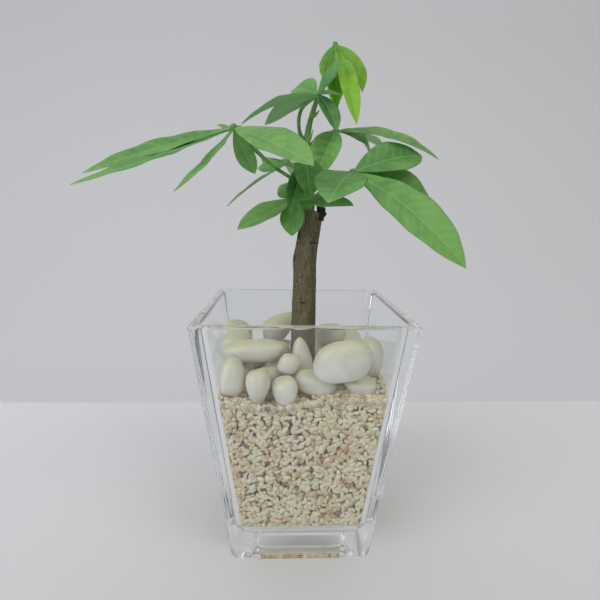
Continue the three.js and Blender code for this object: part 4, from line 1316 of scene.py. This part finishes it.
@dataclass
class PalmateLeaf:
    """A stalk, the swollen joint at its end, and the leaflets that spread from it."""

    node: str
    skin: Leafage
    slot: str
    stalk: list[Place]
    leaflets: list[Leaflet]
    stalk_radius: tuple[float, float, float] = (1.3, 0.85, 1.05)  # at its foot, in between and at the joint
    hub: float = 1.7
    thickness: float = 0.42
    step: float = 0.5
    columns: int = 14  # on each half of each side
    wave: float = 0.3
    wavelength: float = 17
    crinkle: float = 0.05
    crinkle_length: float = 7.3
    belly: float = 0.05  # how far each half swells, as a share of its width
    base_half: float = 0.9
    tip_half: float = 0.18
    rib_half: float = 0.45
    groove: float = 0.12
    keel: float = 0.45
    stem: float = 0.75  # half-thickness where the blade leaves the joint
    outline: tuple[float, float] = (1.1, 0.9)

    def rib_frame(self, leaflet: Leaflet, base: Array, t: Array) -> tuple[Array, Array, Array]:
        """Works out a leaflet's rib and how the blade lies on it.

        The rib is the quadratic curve from base to tip over a point that lies twice the bow above
        the chord's middle, on the side that the blade faces.

        Args:
            leaflet: The leaflet.
            base: Where it leaves the joint.
            t: Places along it from 0 to 1.

        Returns:
            The rib's points, the way across and the way up at each place.
        """
        tip = np.array(leaflet.tip, float)
        chord = unit(tip - base)
        face = np.array(leaflet.face, float)
        face = unit(face - (face @ chord) * chord)
        over = (base + tip) / 2 + 2 * leaflet.bow * face
        share = t[:, None]
        point = (1 - share) ** 2 * base + 2 * share * (1 - share) * over + share**2 * tip
        ahead = unit(2 * (1 - share) * (over - base) + 2 * share * (tip - over))
        across = unit(np.cross(ahead, face))
        return point, across, np.cross(across, ahead)

    def half_width(self, leaflet: Leaflet, t: Array) -> Array:
        """Half the blade's width.

        It goes as t to the power 1.1 times (1 - t) to the power 0.9, over that product's greatest
        value, and never falls below a small half-width.

        Args:
            leaflet: The leaflet.
            t: Places along it from 0 to 1.

        Returns:
            Half the width at each place.
        """
        rise, fall = self.outline
        widest = rise / (rise + fall)
        outline = t**rise * (1 - t) ** fall / (widest**rise * (1 - widest) ** fall)
        return np.maximum(leaflet.width / 2 * outline, self.base_half + (self.tip_half - self.base_half) * t)

    def blade(self, leaflet: Leaflet, number: int) -> Patch:
        """One leaflet's closed surface.

        Each half is raised by the fold, waved along its margin by a sine, crinkled near it by a
        finer one, swollen by half a sine wave across, and bulges between the side veins by a
        cosine. The midrib is a groove above and a keel below, which fall off as the exponential of
        the distance's square.

        Args:
            leaflet: The leaflet.
            number: Its number in the leaf, which shifts its crinkles and its tone.

        Returns:
            The surface, with its own millimetres across and along, its upper side and its tone.
        """
        base = np.array(self.stalk[-1], float)
        length = float(np.linalg.norm(np.array(leaflet.tip) - base))
        t = np.linspace(0, 1, max(16, round(length / self.step)) + 1)
        point, across, up = self.rib_frame(leaflet, base, t)
        half, place = self.half_width(leaflet, t)[:, None], t[:, None]
        upper = np.linspace(-1, 1, 2 * self.columns + 1)
        s = np.concatenate([upper[1:-1], [1.0], upper[-2:0:-1], [-1.0]])[None, :]
        face = np.ones(2 * self.columns - 1)
        side = np.concatenate([face, [0.0], -face, [0.0]])[None, :]  # 1 above, -1 below and 0 at the margins
        along, out = place * length, s * half
        # the two halves wave and crinkle out of step, and each leaflet crinkles in its own place
        phase = 2 * np.pi * along / self.wavelength + np.where(s > 0, 1.9, 0.0)
        crinkle = 2 * np.pi * along / self.crinkle_length + np.where(s > 0, 0.7, 3.0) + number
        ends = 4 * place * (1 - place)
        vein = (along - LeafSkin.lean * np.abs(out)) / LeafSkin.spacing
        bulge = leaflet.ribbed * -np.cos(2 * np.pi * vein) * ease(np.abs(s), 0.02, 0.2) * (1 - s**4)
        raised = np.sqrt(s**2 + 0.004) - 0.063  # the size of s, rounded at the midrib
        lift = half * raised * math.sin(math.radians(leaflet.fold)) + ends * (
            self.wave * s * s * np.sin(phase) + self.crinkle * s**4 * np.sin(crinkle)
            + self.belly * half * np.sin(np.pi * np.abs(s)) + bulge)
        # full in the middle, a little over half as thick at both ends, and rounded off at the margins
        body = self.thickness / 2 * np.sqrt(np.clip(1 - s**8, 0, 1)) * (0.55 + 0.45 * ends)
        rib = np.exp(-((out / self.rib_half) ** 2)) * (1 - 0.75 * place)
        skin_at = side * body + np.where(side > 0, -self.groove, -self.keel) * rib * (side != 0)
        stem = self.stem * ease(1 - place, 0.94, 1.0) * side * np.sqrt(np.clip(1 - s**2, 0, 1))
        flat = math.cos(math.radians(leaflet.fold))
        rings = (point[:, None] + across[:, None] * (out * flat)[..., None]
                 + up[:, None] * (lift + skin_at + stem)[..., None])
        # fresher or deeper green from leaflet to leaflet, and fresher towards the tip
        tone = 0.12 * math.sin(5.1 * number + 1.3) + 0.25 * place**4
        return skin(rings, across_mm=out, along_mm=along, upper=(side >= 0).astype(float), tone=tone)

    def stalk_patch(self) -> Patch:
        """The stalk: a slim tube, thicker at its foot and swollen round the joint that holds the leaflets.

        The swelling falls off as the exponential of the distance's square, and half an ellipse
        closes the end.

        Returns:
            The surface.
        """
        points = np.array(self.stalk, float)
        foot, middle, end = self.stalk_radius
        radius = [foot, *[middle] * (len(points) - 2), end]
        rings, places, _ = tube(np.column_stack([points, radius]), 24, 0.4,
                                lambda along, angle: 0.04 * np.cos(5 * angle) + 0 * along)
        length = np.linalg.norm(np.diff(points, axis=0), axis=1).sum()
        line = rings.mean(1, keepdims=True)
        swell = np.exp(-(((1 - places) * length / 1.5) ** 2)) * (self.hub / end - 1)
        rings = line + (rings - line) * (1 + swell)[:, None, None]
        dome = np.linspace(0, 1, 6)[1:, None, None]
        ahead = unit(points[-1] - points[-2])
        cap = line[-1] + (rings[-1] - line[-1]) * np.sqrt(1 - 0.98 * dome**2) + ahead * dome * self.hub
        return skin(np.concatenate([rings, cap]))

    def dress(self) -> None:
        """Makes the leaflets and the stalk."""
        blades = [self.blade(leaflet, number) for number, leaflet in enumerate(self.leaflets)]
        name = self.node.removeprefix("leaf_")
        place_piece(f"{name}_blades", join(blades), self.skin.value, (self.node,))
        stalk = YoungStem("leaf stalk", "#4F8440", "#7FAE58")
        place_piece(f"{name}_stalk", self.stalk_patch(), stalk)


def leaves() -> list[PalmateLeaf]:
    """The plant's leaves.

    Returns:
        All eight, from the youngest at the top to the oldest.
    """
    return [
        PalmateLeaf("leaf_crown", Leafage.BRIGHT, "leaf_bright", [
            (9.0, 5, 232), (12.5, 5.5, 240), (13.5, 6, 247), (15, 6, 252.5)], [
            Leaflet((24, -13, 212), 10, (0.1, -1, 0.1), 3, 25),
            Leaflet((28.5, 3, 230), 13, (0.8, -0.8, 0.3), 2.8, 22),
            Leaflet((10, 0.5, 233.5), 9, (-0.5, -1, 0.2), 1, 20),
            Leaflet((16, -3, 221), 9, (-0.3, -1, 0.1), 2, 30),
            Leaflet((17, 17, 226), 11, (0.2, 1, 0.2), 3, 25)], hub=1.25),
        PalmateLeaf("leaf_upper_left", Leafage.DARK, "leaf_dark", [
            (1.2, 0.5, 203), (-2.4, -0.5, 211.5), (-1.5, -3, 220), (5.8, -6, 226.4)], [
            Leaflet((-29, -16, 210.5), 13, (0, 0.1, 1), 2.5, 12),
            Leaflet((-19, -4, 212.5), 12, (0, 0.4, 1), 0.5, 20),
            Leaflet((14.5, -14, 208.5), 10, (0.4, -1, 0.5), 2, 15),
            Leaflet((15, -20, 223), 7, (0, 0.1, 1), 0.5, 15),
            Leaflet((17, -10, 242), 10, (-0.7, -0.6, 0.4), -1.2, 20),
            Leaflet((-4.5, 5, 231.5), 14, (0.35, -1, 0.15), 1, 15)]),
        PalmateLeaf("leaf_long_left", Leafage.GREEN, "leaf_green", [
            (1.5, -0.5, 180), (-4, -7.5, 186), (-16, -18.5, 193), (-31, -32, 206)], [
            Leaflet((1.4, -58, 188.3), 21, (0.05, -0.7, 1), 1.4, 12),
            Leaflet((-90, -44, 185.5), 14, (0, -0.6, 1), 0.9, 8),
            Leaflet((-88, -60, 180), 13, (0, -0.3, 1), -0.6, 5),
            Leaflet((-50, -62, 178), 9, (-0.55, -0.35, 1), -1.5, 10),
            Leaflet((-23, -18, 188.5), 9, (-0.3, -1, 0.2), 0.5, 15),
            Leaflet((-37, -7, 209), 12, (0, 0, 1), 0, 20)]),
        PalmateLeaf("leaf_back_left", Leafage.DARK, "leaf_dark", [
            (2, 0, 188), (-3, 8, 193), (-7.5, 14, 197)], [
            Leaflet((-39, 6, 174), 9, (-0.56, -0.1, 0.82), 1.5, 10),
            Leaflet((-24, 24, 195), 9, (0, -0.9, 0.6), 0, 10),
            Leaflet((-20, 45, 198), 15, (0, 0, 1), 2, 15),
            Leaflet((4, 48, 184), 16, (0.1, 0.2, 1), 4, 15),
            Leaflet((18, 30, 187), 12, (0.2, 0.1, 1), 3, 15)]),
        PalmateLeaf("leaf_lower_left", Leafage.GREEN, "leaf_dark", [
            (2.8, 0, 174), (-1, -2, 176.5), (-4, -4, 178.5)], [
            Leaflet((-31.5, -16, 163), 14, (-0.2, -0.8, 1), 0, 15),
            Leaflet((-5.4, -10.5, 160), 13, (-0.3, -1, 0.2), 1, 15),
            Leaflet((-12, 2, 184.5), 10, (0, -1, 0.3), 0, 10),
            Leaflet((21, -31, 174.5), 13, (0, -0.75, 1), 0, 10)]),
        # the inner leaf takes the darker greens of painted shading
        PalmateLeaf("leaf_inner", Leafage.PAINTED_SHADE, "leaf_dark", [
            (2, 0, 186), (0.5, -6, 191), (0, -12, 196)], [
            Leaflet((2, -28, 178), 15, (0.1, -1, 0.3), 2, 25),
            Leaflet((-7, -24, 171), 9, (0, -1, 0.3), 2, 20)]),
        PalmateLeaf("leaf_upper_right", Leafage.GREEN, "leaf_green", [
            (1.6, 0.5, 201), (5, 2, 206), (10, 4, 209.5), (16.5, 6, 212)], [
            Leaflet((5, -13, 186), 17, (0, -0.8, 0.6), 3, 35, 0.28),
            Leaflet((70.5, 8, 199.5), 15, (0.1, -0.55, 1), 4.2, 15),
            Leaflet((38, 24, 197), 14, (0.7, -0.5, 0.7), 6.2, 12),
            Leaflet((48, 40, 209.5), 11, (0, 0, 1), 1.5, 12)]),
        PalmateLeaf("leaf_lower_right", Leafage.GREEN, "leaf_green", [
            (2.6, -0.5, 177), (8, -4, 181), (14, -8, 186), (23, -12, 190.5)], [
            Leaflet((69, -42, 148.5), 22.5, (0.1, -1, 0.8), 5.2, 12),
            Leaflet((69, 8, 176), 22, (0, -1, 0.8), 4, 12),
            Leaflet((8, -50, 175), 23, (0, -0.5, 1), 2, 12),
            Leaflet((60.5, 4, 200.5), 20, (0, -0.9, 0.7), 2.8, 12)]),
    ]


# ---------------------------------------------------------------- studio


@dataclass
class Studio:
    """A pale table top in front of a far grey wall, soft lamps, and the camera at the photograph's angle."""

    table_back: float = 162  # how far behind the vase's axis the table top ends
    table_reach: float = 1400  # towards the viewer
    table_half: float = 700  # to either side
    table_drop: float = 0.05  # below the foot, so that glass and table don't lie in one plane
    wall_back: float = 900
    wall_half: float = 1000
    wall_tall: float = 1400  # above the table and below it
    lamps_at: float = 90  # the height on the vase's axis that the lamps point at
    bounces: int = 32  # light runs many times to and fro inside the glass's walls
    lens: float = 27.25
    eye: Place = (-9.75, -234.43, 169.93)
    pitch: float = 10.542  # degrees below the horizon
    yaw: float = 2.19  # degrees to the right
    roll: float = 0.762  # degrees anticlockwise

    def board(self, name: str, corners: list[Place], finish: Finish) -> None:
        """Adds a flat four-sided sheet that isn't part of the object.

        Args:
            name: Its name.
            corners: Its four corners in order.
            finish: What it is made of.
        """
        mesh = bpy.data.meshes.new(name)
        mesh.from_pydata([tuple(point) for point in (np.array(corners) + AXIS) * METRES], [], [(0, 1, 2, 3)])
        mesh.materials.append(material_of(finish))
        sheet = shown(bpy.data.objects.new(name, mesh))

    def lamp(self, name: str, place: Place, size: float, power: float, colour: str) -> None:
        """Adds a square soft lamp that points at the middle of the vase.

        Args:
            name: Its name.
            place: Where it hangs.
            size: Its side.
            power: Its power in watts.
            colour: Its sRGB hex colour.
        """
        light = bpy.data.lights.new(name, "AREA")
        light.size, light.energy, light.color = size * METRES, power, linear(colour)[:3]
        lamp = shown(bpy.data.objects.new(name, light))
        lamp.location = Vector((AXIS + place) * METRES)
        towards = Vector((AXIS + [0, 0, self.lamps_at]) * METRES) - lamp.location
        lamp.rotation_euler = towards.to_track_quat("-Z", "Y").to_euler()

    def room(self) -> bpy.types.World:
        """The room's light: bright from the ceiling, greyer from the walls and dull from below.

        Returns:
            The world that holds it.
        """
        world = bpy.data.worlds.new("room")
        world.use_nodes = True
        tree = world.node_tree
        tree.nodes.clear()
        parts = add(tree, "SeparateXYZ", {0: add(tree, "TexCoord").outputs["Generated"]})
        height, across = (add(tree, "MapRange", {0: parts.outputs[axis], 1: -1.0, 2: 1.0}) for axis in "ZX")
        level = add(tree, "ValToRGB", {0: height}, stops={
            0.3: "#8E8E91", 0.5: "#A9A9AC", 0.62: "#DCDCDE", 0.85: "#FAFAFA"})
        sides = add(tree, "ValToRGB", {0: across}, stops={
            0.0: "#8E9096", 0.06: "#3C3E46", 0.13: "#55575F", 0.2: "#E4E4E6", 0.3: "#FFFFFF", 0.7: "#FFFFFF",
            0.8: "#E0E0E2", 0.87: "#50525A", 0.94: "#3A3C44", 1.0: "#8A8C92"})
        colour = add(tree, "Mix", {"Factor": 1.0, "A": level, "B": sides}, data_type="RGBA",
                     blend_type="MULTIPLY")
        background = add(tree, "Background", {"Color": colour, "Strength": 0.85})
        add(tree, "OutputWorld", {"Surface": background})
        return world

    def dress(self) -> None:
        """Sets the table, the wall, the lamps, the room's light and the camera."""
        near, wide, back, low = -self.table_reach, self.table_half, self.table_back, -self.table_drop
        # painted light: the table is lighter towards the back
        self.board("table", [(-wide, near, low), (wide, near, low), (wide, back, low), (-wide, back, low)],
                   MattBoard("white table", "#D9D9DA", "#EBEBEC", 1, (-110, 150)))
        far, wide, tall = self.wall_back, self.wall_half, self.wall_tall
        # painted shading and light: the wall is darker towards the top, and it glows in its own colour
        self.board("wall", [(-wide, far, -tall), (wide, far, -tall), (wide, far, tall), (-wide, far, tall)],
                   MattBoard("pale wall", "#F3F3F5", "#DBDBDC", 2, (-320, 600), glow=0.18))
        self.lamp("ceiling tube", (500, -450, 900), 380, 1.4, "#FFFBF2")
        self.lamp("window", (-750, -600, 560), 700, 4.2, "#F2F6FF")
        scene = bpy.context.scene
        scene.world = self.room()
        scene.view_settings.view_transform = "Standard"
        cycles = scene.cycles
        cycles.max_bounces = cycles.glossy_bounces = cycles.transmission_bounces = self.bounces
        camera = shown(bpy.data.objects.new("camera", bpy.data.cameras.new("camera")))
        camera.data.lens = self.lens
        camera.matrix_world = Matrix.Translation(Vector((AXIS + self.eye) * METRES))
        for angle, axis in ((-self.yaw, "Z"), (90 - self.pitch, "X"), (self.roll, "Z")):
            camera.matrix_world = camera.matrix_world @ Matrix.Rotation(math.radians(angle), 4, axis)
        scene.camera = camera


def main() -> None:
    """Builds the studio, then the vase and what it holds, then the plant."""
    logging.basicConfig(level=logging.INFO, format="%(name)s %(message)s")
    vase, pebbles = GlassVase(), PebbleBed()
    for part in (Studio(), vase, pebbles, GravelBed(vase, pebbles), Trunk(), Shoot(), *leaves()):
        part.dress()


if __name__ == "__main__":
    main()
